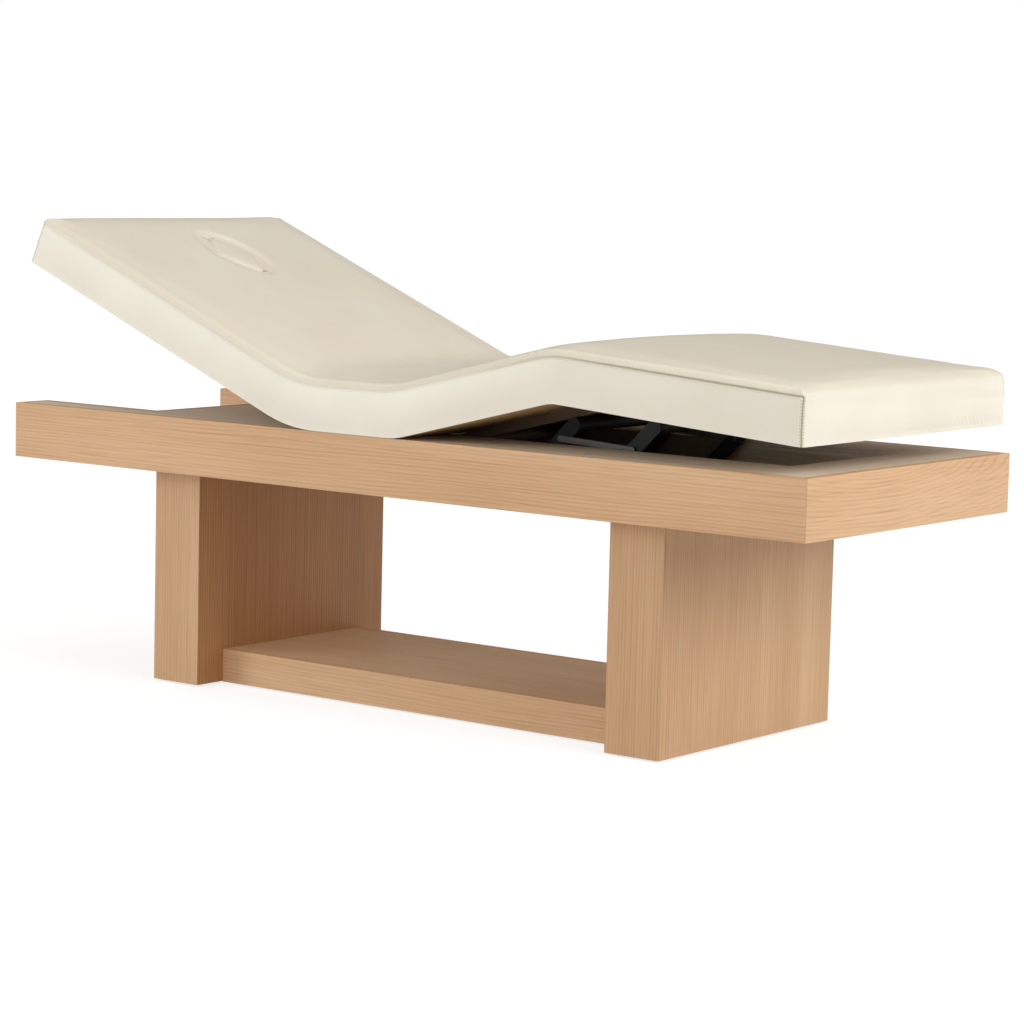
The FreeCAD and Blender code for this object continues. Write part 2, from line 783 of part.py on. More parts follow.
# The levers stand beside the rods' heads, each with a pin that passes through its slot
BACK_LEVER_Y = ("back_drive_y - head_thickness / 2 - lever_head_gap - lever_thickness",
                "back_drive_y - head_thickness / 2 - lever_head_gap")
THIGH_LEVER_Y = ("thigh_drive_y - head_thickness / 2 - lever_head_gap - lever_thickness",
                 "thigh_drive_y - head_thickness / 2 - lever_head_gap")


def lever(frame, across, way, length, half_width, pin_radius, pin_end):
    """A flat lever from a shaft's middle to a pin, in its own leaning frame; way is + up or - down."""
    reach = way + length
    rise = ("0", reach) if way == "+" else (reach, "0")
    blade = slab(("-" + half_width, half_width), across, rise, frame)
    tip = cross_rod("0", reach, across, half_width, frame)
    pin = cross_rod("0", reach, (across[0], pin_end), pin_radius, frame)
    return [blade, tip, pin]


# Back section: hinge tube with its lever, rails, board, cushion and face plug
TUBE_Y = ("-hinge_tube_y", "hinge_tube_y")
back_lever_pieces = lever("back_lever", BACK_LEVER_Y, "-", "back_lever_length", "back_lever_half_width",
                          "back_pin_radius", "back_drive_y + head_thickness / 2")
cut(
    fuse([cross_rod("back_x", "axis_z", TUBE_Y, "hinge_tube_radius")] + back_lever_pieces),
    [cross_rod("back_x", "axis_z", ("-well_y", "well_y"), "pivot_radius + pivot_clearance")],
    label="back_hinge_tube",
)
RAIL_HEIGHT = ("rail_low", "under")
group(
    [slab(("-back_rail_reach", "-hinge_tube_radius"), mirrored_span("rail_in", "rail_out", side),
          RAIL_HEIGHT, "back")
     for side in SIDES],
    "back_rails",
)


def oval_prism(half_length, half_width, x, z, frame):
    """An oval block whose long axis runs along the section."""
    ring = doc.addObject("Part::Ellipse", "ring")
    ring.setExpression("MajorRadius", bound(half_length))
    ring.setExpression("MinorRadius", bound(half_width))
    block = doc.addObject("Part::Extrusion", "oval")
    block.Base = ring
    block.DirMode = "Custom"
    block.Dir = Vector(0, 0, 1)
    block.setExpression("LengthFwd", bound(span(z)))
    block.Solid = True
    lean(block, frame)
    place(block, x, "0", z[0], frame)
    return block


BOARD_Y = ("-board_y", "board_y")
BOARD_Z = ("under", "board_top")
blank = slab(("-back_length + board_inset", "-back_board_start"), BOARD_Y, BOARD_Z, "back")
cut(
    blank,
    [oval_prism("plug_length / 2 - plug_ledge + plug_gap", "plug_width / 2 - plug_ledge + plug_gap",
                "plug_x", ("under - overrun", "board_top + overrun"), "back")],
    label="back_board",
)


def mattress_ring(origin, turn, base_x, base_z, lean_deg, low, top, inset=0.0):
    """One closed cross-section of the mattress: flat below, drawn-in sides, rolled edges, crown.

    The section stands on a line through (base_x, base_z) of its frame and leans by lean_deg.
    low and top are heights along that line and inset narrows it.
    """
    rise = (math.sin(math.radians(lean_deg)), math.cos(math.radians(lean_deg)))
    spot = Placement(Vector(*origin), Rotation(Vector(0, 1, 0), turn))
    half = size("mattress_width") / 2 - inset
    draw = size("side_draw")
    roll = size("top_corner_radius")
    diagonal = math.sqrt(2) / 2

    def point(across, height):
        local = Vector(base_x + rise[0] * height, across, base_z + rise[1] * height)
        return spot.multVec(local)

    shoulder = top - roll
    foot = half - draw
    middle = (low + shoulder) / 2
    rolled = (foot - roll + roll * diagonal, shoulder + roll * diagonal)
    edges = [Part.LineSegment(point(-foot, low), point(foot, low)).toShape()]
    for sign in (1, -1):
        stops = [
            (point(sign * foot, low), point(sign * half, middle), point(sign * foot, shoulder)),
            (point(sign * foot, shoulder), point(sign * rolled[0], rolled[1]), point(sign * (foot - roll), top)),
        ]
        arcs = [Part.Arc(*three).toShape() for three in stops]
        edges += arcs
        if sign == 1:
            crest = (point(foot - roll, top), point(0, top + size("crown")), point(-(foot - roll), top))
            edges.append(Part.Arc(*crest).toShape())
    return Part.Wire(Part.__sortEdges__(edges))


def frame_spot(frame):
    """The pivot of a frame and its lean, as numbers."""
    pivots = {
        "back": ("back_x", "axis_z", size("back_rest_deg")),
        "thigh": ("thigh_x", "axis_z", -size("thigh_rest_deg")),
        "leg": ("knee_x", "knee_z", size("leg_rest_deg")),
        "seat": ("back_x", "axis_z", 0.0),
    }
    name_x, name_z, turn = pivots[frame]
    return (size(name_x), 0.0, size(name_z)), turn


def wedge_ring(frame, base_x, lean_deg):
    """The slanting end face of a section, through a hinge axis at base_x of its frame."""
    origin, turn = frame_spot(frame)
    stretch = 1 / math.cos(math.radians(lean_deg))
    return mattress_ring(origin, turn, base_x, 0.0, lean_deg,
                         size("board_top") * stretch, size("crest") * stretch)


def rolled_end(frame, length):
    """Rings that roll the top edge down at the free end of a section, towards +X or -X."""
    origin, turn = frame_spot(frame)
    sign = 1 if length > 0 else -1
    roll = size("end_radius")
    rings = []
    for share in ROLL_SHARES:
        drop = 1 - math.sqrt(1 - share ** 2)
        x = length - sign * roll * (1 - share)
        rings.append(mattress_ring(origin, turn, x, 0.0, 0.0, size("board_top"),
                                   size("crest") - roll * drop, size("plan_radius") * drop))
    return rings


def soft_form(rings, label=None):
    """A cushion lofted with straight rulings through its rings."""
    form = doc.addObject("Part::Feature", "cushion")
    form.Shape = Part.makeLoft(rings, True, True)
    return keep(form, label) if label else form


def fold(frame, base_x, leans, normals, label):
    """The foam that bends at a hinge, fanned about the axis between two section ends.

    leans are the tilts of the two end faces and normals the tilts of the two sections.
    """
    origin, turn = frame_spot(frame)
    crest = size("crest")

    def tip(lean_deg, reach):
        return (reach * math.sin(math.radians(lean_deg)), reach * math.cos(math.radians(lean_deg)))

    ends = [tip(lean_deg, crest / math.cos(math.radians(lean_deg - normal)))
            for lean_deg, normal in zip(leans, normals)]
    half = (normals[1] - normals[0]) / 2
    crease = tip(sum(normals) / 2, crest / math.cos(math.radians(half)))
    rings = []
    for step in range(FOLD_STEPS + 1):
        share = step / FOLD_STEPS
        x, z = [
            (1 - share) ** 2 * first + 2 * share * (1 - share) * middle + share ** 2 * last
            for first, middle, last in zip(ends[0], crease, ends[1])
        ]
        reach = math.hypot(x, z)
        low = reach * size("board_top") / crest
        rings.append(mattress_ring(origin, turn, base_x, 0.0, math.degrees(math.atan2(x, z)), low, reach))
    return soft_form(rings, label)


cut(
    soft_form([wedge_ring("back", 0.0, -size("back_wedge_deg"))] + rolled_end("back", -size("back_length"))),
    [oval_prism("plug_length / 2 + plug_gap", "plug_width / 2 + plug_gap", "plug_x",
                ("under", "crest + crown + overrun"), "back")],
    label="back_cushion",
)
plug_top = oval_prism("plug_length / 2", "plug_width / 2", "plug_x",
                      ("board_top", "crest - plug_recess + crown"), "back")
plug_foot = oval_prism("plug_length / 2 - plug_ledge", "plug_width / 2 - plug_ledge", "plug_x",
                       ("under", "board_top"), "back")
plug_blank = fuse([plug_top, plug_foot])
doc.recompute()
rim = max(
    (edge for edge in plug_blank.Shape.Edges if edge.Length > size("plug_length")),
    key=lambda edge: edge.CenterOfMass.z,
)
rim_index = [edge.hashCode() for edge in plug_blank.Shape.Edges].index(rim.hashCode()) + 1
rounded_plug = doc.addObject("Part::Fillet", "rounded_plug")
rounded_plug.Base = plug_blank
rounded_plug.Edges = [(rim_index, size("plug_edge_radius"), size("plug_edge_radius"))]
keep(rounded_plug, "face_plug")

# Seat section, fixed on the deck
slab(("back_x + back_board_start", "thigh_x - thigh_board_start"), BOARD_Y,
     ("tray_top", "axis_z + board_top"), label="seat_board")
soft_form([wedge_ring("seat", 0.0, size("back_wedge_deg")),
           wedge_ring("seat", size("seat_length"), -size("thigh_wedge_deg"))], "seat_cushion")
fold("seat", 0.0,
     (size("back_rest_deg") - size("back_wedge_deg") + size("fold_gap_deg"), size("back_wedge_deg")),
     (size("back_rest_deg"), 0.0), "hip_fold")
fold("seat", size("seat_length"),
     (-size("thigh_wedge_deg"), size("thigh_wedge_deg") - size("thigh_rest_deg") - size("fold_gap_deg")),
     (0.0, -size("thigh_rest_deg")), "thigh_fold")

# Thigh section
cut(
    cross_rod("thigh_x", "axis_z", TUBE_Y, "hinge_tube_radius"),
    [cross_rod("thigh_x", "axis_z", ("-well_y", "well_y"), "pivot_radius + pivot_clearance")],
    label="thigh_hinge_tube",
)
LUG_Z = ("rail_low", "lug_radius")
thigh_rails = []
for side in SIDES:
    rail = slab(("hinge_tube_radius", "thigh_length - knee_rail_gap"),
                mirrored_span("rail_in", "rail_out", side), RAIL_HEIGHT, "thigh")
    across = mirrored_span("rail_in - lug_thickness", "rail_in", side)
    ear = fuse([
        slab(("thigh_length - lug_reach", "thigh_length"), across, LUG_Z, "thigh"),
        cross_rod("thigh_length", "0", across, "lug_radius", "thigh"),
    ])
    drilled = cut(ear, [cross_rod("knee_x", "knee_z", mirrored_span("0", "well_y", side), "knee_pin_radius")])
    thigh_rails.append(fuse([rail, drilled]))
group(thigh_rails, "thigh_rails")
slab(("thigh_board_start", "thigh_length - knee_board_gap"), BOARD_Y, BOARD_Z, "thigh", "thigh_board")
soft_form([wedge_ring("thigh", 0.0, size("thigh_wedge_deg")),
           wedge_ring("thigh", size("thigh_length"), -size("knee_wedge_deg"))], "thigh_cushion")
knee_bend = size("thigh_rest_deg") + size("leg_rest_deg")
fold("thigh", size("thigh_length"),
     (-size("knee_wedge_deg"), knee_bend + size("knee_wedge_deg") - size("fold_gap_deg")),
     (0.0, knee_bend), "knee_fold")
group(
    [cross_rod("knee_x", "knee_z", mirrored_span("rail_in - lug_thickness", "rail_out + lug_thickness", side),
               "knee_pin_radius")
     for side in SIDES],
    "knee_pins",
)

# Leg section
leg_rails = []
for side in SIDES:
    rail = slab(("knee_rail_gap", "leg_rail_reach"), mirrored_span("rail_in", "rail_out", side),
                RAIL_HEIGHT, "leg")
    across = mirrored_span("rail_out", "rail_out + lug_thickness", side)
    ear = fuse([
        slab(("0", "lug_reach"), across, LUG_Z, "leg"),
        cross_rod("0", "0", across, "lug_radius", "leg"),
    ])
    drilled = cut(ear, [cross_rod("knee_x", "knee_z", mirrored_span("0", "well_y", side),
                                  "knee_pin_radius + pivot_clearance")])
    leg_rails.append(fuse([rail, drilled]))
group(leg_rails, "leg_rails")
slab(("knee_board_gap", "leg_length - board_inset"), BOARD_Y, BOARD_Z, "leg", "leg_board")
soft_form([wedge_ring("leg", 0.0, size("knee_wedge_deg"))] + rolled_end("leg", size("leg_length")),
          "leg_cushion")


def cam_profile():
    """The underside of the leg cams: the lift bar's path in the leg's frame, one radius away."""
    reach = size("lift_bar_radius") + size("cam_gap")
    rest = size("thigh_rest_deg")
    fall = size("leg_rest_deg") / rest

    def bar_centre(thigh_deg):
        arm = math.radians(size("lift_rest_deg") + size("lift_ratio") * (thigh_deg - rest))
        x = size("leg_lift_x") + size("leg_arm_length") * math.cos(arm)
        z = size("leg_lift_z") + size("leg_arm_length") * math.sin(arm)
        swing = math.radians(thigh_deg)
        x -= size("thigh_x") + size("thigh_length") * math.cos(swing)
        z -= size("axis_z") + size("thigh_length") * math.sin(swing)
        tilt = math.radians(fall * thigh_deg)
        return (x * math.cos(tilt) - z * math.sin(tilt), x * math.sin(tilt) + z * math.cos(tilt))

    highest = rest + size("thigh_raise_deg")
    outline = []
    for step in range(CAM_STEPS + 1):
        angle = highest * step / CAM_STEPS
        before = bar_centre(angle - CAM_NUDGE_DEG)
        after = bar_centre(angle + CAM_NUDGE_DEG)
        run = (before[0] - after[0], before[1] - after[1])
        length = math.hypot(*run)
        centre = bar_centre(angle)
        outline.append((centre[0] - reach * run[1] / length, centre[1] + reach * run[0] / length))
    return outline


profile = cam_profile()
cams = []
leg_origin, leg_turn = frame_spot("leg")
for side in (-1, 1):
    middle = side * (size("rail_in") + size("rail_out")) / 2 - size("cam_width") / 2
    first, last = profile[0], profile[-1]
    loop = [(first[0] + size("cam_end_reach"), size("rail_low"))]
    loop += [(first[0] + size("cam_end_reach"), first[1])]
    loop += profile
    loop += [(last[0] - size("cam_end_reach"), last[1]), (last[0] - size("cam_end_reach"), size("rail_low"))]
    points = [Vector(x, middle, z) for x, z in loop]
    face = Part.Face(Part.makePolygon(points + [points[0]]))
    cam = doc.addObject("Part::Feature", "cam")
    cam.Shape = face.extrude(Vector(0, size("cam_width"), 0))
    cam.Placement = Placement(Vector(*leg_origin), Rotation(Vector(0, 1, 0), leg_turn))
    cams.append(cam)
group(cams, "leg_cams")

# Lift gear: a shaft, two arms and a bar for the thigh, and the same again for the leg
SHAFT_Y = ("-well_y", "well_y")
thigh_lever_pieces = lever("thigh_lever", THIGH_LEVER_Y, "+", "thigh_lever_length", "thigh_lever_half_width",
                           "thigh_pin_radius", "thigh_drive_y + head_thickness / 2")
fuse([cross_rod("lift_x", "lift_z", SHAFT_Y, "lift_shaft_radius")] + thigh_lever_pieces,
     label="thigh_lift_shaft")
cross_rod("leg_lift_x", "leg_lift_z", SHAFT_Y, "lift_shaft_radius", label="leg_lift_shaft")


def lift_arm(frame, length, side, tie_clearance):
    """A flat arm with round ends, welded on its shaft and drilled for the tie bar's pin."""
    across = mirrored_span("arm_y", "arm_out", side)
    through = mirrored_span("arm_y - overrun", "arm_out + overrun", side)
    blank = fuse([
        slab(("0", length), across, ("-arm_half_width", "arm_half_width"), frame),
        cross_rod("0", "0", across, "arm_half_width", frame),
        cross_rod(length, "0", across, "arm_half_width", frame),
    ])
    return cut(blank, [
        cross_rod("0", "0", through, "lift_shaft_radius", frame),
        cross_rod("tie_reach", "0", through, "tie_pin_radius + %s" % tie_clearance, frame),
    ])


for section, length, clearance in (
    ("thigh", "thigh_arm_length", "pivot_clearance"),
    ("leg", "leg_arm_length", "tie_open_gap"),
):
    group([lift_arm(section + "_arm", length, side, clearance) for side in SIDES],
          section + "_lift_arms")
    cross_rod(length, "0", ("-arm_y", "arm_y"), "lift_bar_radius", section + "_arm",
              section + "_lift_bar")

ties = []
for side in SIDES:
    across = mirrored_span("tie_y", "tie_out", side)
    pin_across = mirrored_span("arm_y", "tie_out", side)
    ties.append(fuse([
        slab(("0", "tie_length"), across, ("-tie_half_width", "tie_half_width"), "tie"),
        cross_rod("0", "0", across, "tie_half_width", "tie"),
        cross_rod("tie_length", "0", across, "tie_half_width", "tie"),
        cross_rod("0", "0", pin_across, "tie_pin_radius", "tie"),
        cross_rod("tie_length", "0", pin_across, "tie_pin_radius", "tie"),
    ]))
group(ties, "tie_bars")

# Supply: a control box on the well floor and a mains inlet in the tray's bottom
control_blank = slab(("control_x - control_length", "control_x"), ("-control_width / 2", "control_width / 2"),
                     ("well_floor", "well_floor + control_height"))
doc.recompute()
control = doc.addObject("Part::Chamfer", "control")
control.Base = control_blank
control.Edges = [
    (index, size("control_edge"), size("control_edge"))
    for index, edge in enumerate(control_blank.Shape.Edges, start=1)
    if edge.CenterOfMass.z > size("well_floor") + size("control_edge")
]
keep(control, "control_box")

inlet_low = "slab_top - inlet_flange_height"
inlet_shell = fuse([
    slab(("inlet_x - inlet_length / 2 - inlet_flange", "inlet_x + inlet_length / 2 + inlet_flange"),
         ("-inlet_width / 2 - inlet_flange", "inlet_width / 2 + inlet_flange"), (inlet_low, "slab_top")),
    slab(("inlet_x - inlet_length / 2", "inlet_x + inlet_length / 2"),
         ("-inlet_width / 2", "inlet_width / 2"), (inlet_low, inlet_low + " + inlet_depth")),
])
inlet_hollow = slab(
    ("inlet_x - inlet_length / 2 + inlet_wall", "inlet_x + inlet_length / 2 - inlet_wall"),
    ("-inlet_width / 2 + inlet_wall", "inlet_width / 2 - inlet_wall"),
    (inlet_low + " - overrun", inlet_low + " + inlet_depth - inlet_floor"),
)
inlet_pins = [
    slab(
        ("inlet_x + %s - inlet_pin_thickness / 2" % offset, "inlet_x + %s + inlet_pin_thickness / 2" % offset),
        ("-inlet_pin_width / 2", "inlet_pin_width / 2"),
        (inlet_low + " + inlet_depth - inlet_floor - inlet_pin_length",
         inlet_low + " + inlet_depth - inlet_floor"),
    )
    for offset in ("-inlet_pin_spacing", "0", "inlet_pin_spacing")
]
fuse([cut(inlet_shell, [inlet_hollow])] + inlet_pins, label="mains_inlet")

doc.recompute()
faults = []
for item in doc.Objects:
    if "Invalid" in item.State or "Error" in item.State:
        faults.append("%s (%s) failed" % (item.Name, item.Label))
for label, piece in PIECES.items():
    shape = piece.Shape
    if shape.isNull() or not shape.isValid() or not shape.Solids:
        faults.append("%s has no sound solid" % label)
if faults:
    raise ValueError("; ".join(faults))
os.makedirs("parts", exist_ok=True)
for label, piece in PIECES.items():
    piece.Shape.exportStep("parts/%s.step" % label)
print(len(PIECES), "sub-parts")
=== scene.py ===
"""Looks of a spa bed: veneered base, one long vinyl mattress and the steel gear that lifts it.

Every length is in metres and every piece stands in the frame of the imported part: +X to the foot
end, +Y to the far side, +Z up, with the floor at zero.
"""

import logging
import math
from bisect import bisect_right
from collections.abc import Callable
from dataclasses import dataclass, field
from enum import Enum

import bmesh
import bpy
from mathutils import Matrix, Vector, noise
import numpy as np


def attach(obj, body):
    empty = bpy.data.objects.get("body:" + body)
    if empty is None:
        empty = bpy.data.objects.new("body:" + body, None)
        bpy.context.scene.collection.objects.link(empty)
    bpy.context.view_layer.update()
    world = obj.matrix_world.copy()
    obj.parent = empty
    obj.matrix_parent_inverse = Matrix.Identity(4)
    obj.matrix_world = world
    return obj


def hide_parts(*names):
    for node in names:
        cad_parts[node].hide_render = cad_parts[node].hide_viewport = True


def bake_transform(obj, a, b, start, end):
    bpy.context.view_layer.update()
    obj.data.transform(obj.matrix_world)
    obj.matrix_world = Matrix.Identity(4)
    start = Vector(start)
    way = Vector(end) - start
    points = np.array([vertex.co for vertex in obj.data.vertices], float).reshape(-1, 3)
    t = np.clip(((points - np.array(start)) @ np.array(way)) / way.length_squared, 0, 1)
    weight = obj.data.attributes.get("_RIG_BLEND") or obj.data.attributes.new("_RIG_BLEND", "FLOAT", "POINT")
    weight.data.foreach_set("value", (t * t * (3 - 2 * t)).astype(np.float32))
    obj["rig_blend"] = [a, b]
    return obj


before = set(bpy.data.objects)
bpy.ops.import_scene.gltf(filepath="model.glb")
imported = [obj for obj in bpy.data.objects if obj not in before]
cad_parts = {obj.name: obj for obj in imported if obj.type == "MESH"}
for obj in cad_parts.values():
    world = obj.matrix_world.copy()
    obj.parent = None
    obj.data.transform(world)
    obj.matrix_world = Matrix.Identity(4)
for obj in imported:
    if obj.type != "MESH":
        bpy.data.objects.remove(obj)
LOG = logging.getLogger("spa_bed")
MM = 0.001
WHITE = (1.0, 1.0, 1.0, 1.0)
# How near a vertex is to a seam and how far along it: the sides' long seam, then the ends' corner seams.
# Nearness is this number less the distance in millimetres, and zero further away
SEAM_LAYERS = ("long_near", "long_run", "end_near", "end_run")
SEAM_FAR = 100.0
Material = bpy.types.Material
Mesh = bmesh.types.BMesh
Piece = bpy.types.Object
Socket = bpy.types.NodeSocket


class Grain(Enum):
    """The way the fibres of a veneered board run."""

    ALONG_BED = 0
    ACROSS_BED = 1
    UPRIGHT = 2


class Side(Enum):
    """The two long sides of the bed."""

    NEAR = -1.0
    FAR = 1.0


# Colour and shader nodes


def linear(colour: str) -> tuple[float, float, float, float]:
    """Turn an sRGB hex colour to linear light.

    Args:
        colour: Six hex digits after a hash sign.

    Returns:
        Red, green, blue and an alpha of one.
    """
    channels = []
    for start in (1, 3, 5):
        value = int(colour[start:start + 2], 16) / 255
        channels.append(value / 12.92 if value <= 0.04045 else ((value + 0.055) / 1.055) ** 2.4)
    return (channels[0], channels[1], channels[2], 1.0)


class Sheet:
    """The node tree of a material or the world, with short ways to add what the finishes share."""

    def __init__(self, owner: bpy.types.ID) -> None:
        """Start with an empty tree.

        Args:
            owner: The material or the world.
        """
        owner.use_nodes = True
        self.owner = owner
        self.tree = owner.node_tree
        self.tree.nodes.clear()

    def add(self, kind: str, inputs: dict | None = None, **settings: object) -> bpy.types.Node:
        """Add a shader node with its settings, values and links.

        Args:
            kind: Blender's name of the node type.
            inputs: Values or output sockets by input name or number.
            settings: Attributes of the node.

        Returns:
            The new node.
        """
        node = self.tree.nodes.new(kind)
        for name, value in settings.items():
            setattr(node, name, value)
        for key, value in (inputs or {}).items():
            if isinstance(value, Socket):
                self.tree.links.new(value, node.inputs[key])
            else:
                node.inputs[key].default_value = value
        return node

    def sums(self, operation: str, *values: object, clamp: bool = False) -> Socket:
        """One Math node on sockets or numbers."""
        inputs = dict(enumerate(values))
        return self.add("ShaderNodeMath", inputs, operation=operation, use_clamp=clamp).outputs[0]

    def spread(self, value: Socket, span: tuple = (0.0, 1.0), to: tuple = (0.0, 1.0)) -> Socket:
        """Turn one range of a value to another and hold it there."""
        names = ("From Min", "From Max", "To Min", "To Max")
        return self.add("ShaderNodeMapRange", {"Value": value, **dict(zip(names, span + to))}).outputs[0]

    def ramp(self, factor: Socket, stops: list) -> Socket:
        """Turn a factor to a colour.

        Args:
            factor: A number from zero to one.
            stops: Place and hex colour of each stop.

        Returns:
            The colour between the stops.
        """
        node = self.add("ShaderNodeValToRGB", {"Fac": factor})
        band = node.color_ramp
        while len(band.elements) < len(stops):
            band.elements.new(0.5)
        for element, (place, colour) in zip(band.elements, stops):
            element.position = place
            element.color = linear(colour)
        return node.outputs["Color"]

    def mix(self, share: Socket, first: Socket, second: str) -> Socket:
        """Lay a share of a hex colour over another colour."""
        inputs = {0: share, 6: first, 7: linear(second)}
        return self.add("ShaderNodeMix", inputs, data_type="RGBA").outputs[2]

    def place(self) -> Socket:
        """Object coordinates, which are metres in the frame of the part."""
        return self.add("ShaderNodeTexCoord").outputs["Object"]

    def fibres(self, grain: Grain, along: float, across: float) -> Socket:
        """Object coordinates scaled so that one unit is a given length along and across the fibres."""
        scale = [1 / (along if axis == grain.value else across) for axis in range(3)]
        return self.add("ShaderNodeMapping", {"Vector": self.place(), "Scale": scale}).outputs[0]

    def noise(self, place: Socket, size: float, detail: float, roughness: float = 0.5) -> Socket:
        """A noise with lumps of a given size."""
        inputs = {"Vector": place, "Scale": 1 / size, "Detail": detail, "Roughness": roughness}
        return self.add("ShaderNodeTexNoise", inputs).outputs["Fac"]

    def attribute(self, name: str) -> Socket:
        """A number that the mesh carries."""
        return self.add("ShaderNodeAttribute", attribute_name=name).outputs["Fac"]

    def bump(self, height: Socket, strength: float, distance: float, **settings: object) -> bpy.types.Node:
        """A relief drawn by shading alone."""
        inputs = {"Height": height, "Strength": strength, "Distance": distance}
        return self.add("ShaderNodeBump", inputs, **settings)

    def coat(self, looks: dict) -> Material:
        """End a material with a Principled shader.

        Args:
            looks: Values or output sockets by the name of the shader's input.

        Returns:
            The finished material.
        """
        shader = self.add("ShaderNodeBsdfPrincipled", looks)
        self.add("ShaderNodeOutputMaterial", {"Surface": shader.outputs["BSDF"]})
        return self.owner


@dataclass(frozen=True)
class AshVeneer:
    """Ash veneer, sliced, sanded and lacquered: fine straight fibres, darker pore lines, a soft gloss."""

    grain: Grain
    figure: float = 3.0
    drift: tuple = (620 * MM, 75 * MM)
    pale: str = "#EBC297"
    mid: str = "#DFB084"
    deep: str = "#B5835A"
    ring: float = 7.5 * MM
    leaf: float = 118 * MM
    # Where the arches of a flat-sliced leaf have their middle, and how much longer than high they are
    arch: tuple | None = None
    # How much darker the late wood of a ring, the streaks, the broad clouds and whole leaves get
    late_wood: float = 0.24
    streaks: float = 0.32
    clouds: float = 0.58
    leaf_tone: float = 0.10
    # Real pores are a third of a millimetre wide; they are drawn at 2 mm so that they show
    pore_width: float = 2.0 * MM
    roughness: float = 0.48

    def noise(self, sheet: Sheet, along: float, across: float, detail: float) -> Socket:
        """A noise stretched along the fibres."""
        return sheet.noise(sheet.fibres(self.grain, along, across), 1.0, detail)

    def leaves(self, sheet: Sheet) -> Socket:
        """A tone of its own for each sliced leaf that lies beside the next.

        Args:
            sheet: The material's nodes.

        Returns:
            A number from zero to one.
        """
        point = sheet.add("ShaderNodeSeparateXYZ", {"Vector": sheet.fibres(self.grain, 1e3, self.leaf)})
        ends = [sheet.sums("FLOOR", sheet.sums("ADD", socket, 0.37)) for socket in point.outputs]
        cell = sheet.add("ShaderNodeCombineXYZ", dict(enumerate(ends)))
        return sheet.add("ShaderNodeTexWhiteNoise", {"Vector": cell.outputs[0]}).outputs["Value"]

    def rings(self, sheet: Sheet) -> Socket:
        """The number of growth rings up to a point: straight lines, or arches where the leaf has them.

        Args:
            sheet: The material's nodes.

        Returns:
            The count, which grows by one from ring to ring.
        """
        if self.arch is None:
            point = sheet.add("ShaderNodeSeparateXYZ", {"Vector": sheet.fibres(self.grain, 1e3, self.ring)})
            axes = [socket for index, socket in enumerate(point.outputs) if index != self.grain.value]
            return sheet.sums("ADD", *axes)
        across, height, longer = self.arch
        scale = (0.0, 1 / (self.ring * longer), 1 / self.ring)
        middle = (0.0, -across * scale[1], -height * scale[2])
        inputs = {"Vector": sheet.place(), "Location": middle, "Scale": scale}
        centred = sheet.add("ShaderNodeMapping", inputs).outputs[0]
        return sheet.add("ShaderNodeVectorMath", {0: centred}, operation="LENGTH").outputs["Value"]

    def material(self) -> Material:
        """Build the veneer.

        Returns:
            The material.
        """
        sheet = Sheet(bpy.data.materials.new("ash_veneer_%s_%d" % (self.grain.name.lower(), self.figure)))
        drift = self.noise(sheet, *self.drift, 2.0)
        phase = sheet.sums("MULTIPLY_ADD", drift, self.figure, self.rings(sheet))
        late = sheet.spread(sheet.sums("SINE", sheet.sums("MULTIPLY", phase, 2 * math.pi)), (0.1, 1.0))
        streak = self.noise(sheet, 620 * MM, 3.6 * MM, 2.0)
        broad = self.noise(sheet, 900 * MM, 160 * MM, 1.0)
        pores = self.noise(sheet, 170 * MM, self.pore_width, 2.0)
        lines = sheet.sums("MULTIPLY", late, sheet.sums("MULTIPLY_ADD", streak, 1.2, 0.2, clamp=True))
        tone = -0.12
        for part, weight in ((lines, self.late_wood), (streak, self.streaks), (broad, self.clouds),
                             (self.leaves(sheet), self.leaf_tone)):
            tone = sheet.sums("MULTIPLY_ADD", part, weight, tone)
        body = sheet.ramp(tone, [(0.2, self.pale), (0.5, self.mid), (0.95, self.deep)])
        ink = sheet.spread(pores, (0.50, 0.74), (0.0, 0.42))
        return sheet.coat({
            "Base Color": sheet.mix(ink, body, self.deep),
            "Roughness": sheet.spread(pores, to=(self.roughness - 0.06, self.roughness + 0.12)),
            "Normal": sheet.bump(pores, 0.3, 0.15 * MM, invert=True).outputs[0],
            "IOR": 1.42,
        })


@dataclass(frozen=True)
class Plywood:
    """Birch plywood, sanded and raw: a flat pale face with faint broad figure."""

    name: str
    pale: str
    deep: str

    def material(self) -> Material:
        """Build the plywood.

        Returns:
            The material.
        """
        sheet = Sheet(bpy.data.materials.new(self.name))
        broad = sheet.noise(sheet.fibres(Grain.ALONG_BED, 300 * MM, 22 * MM), 1.0, 4.0, 0.6)
        return sheet.coat({
            "Base Color": sheet.ramp(broad, [(0.3, self.pale), (0.75, self.deep)]),
            "Roughness": 0.75,
            "Normal": sheet.bump(broad, 0.2, 0.2 * MM).outputs[0],
        })


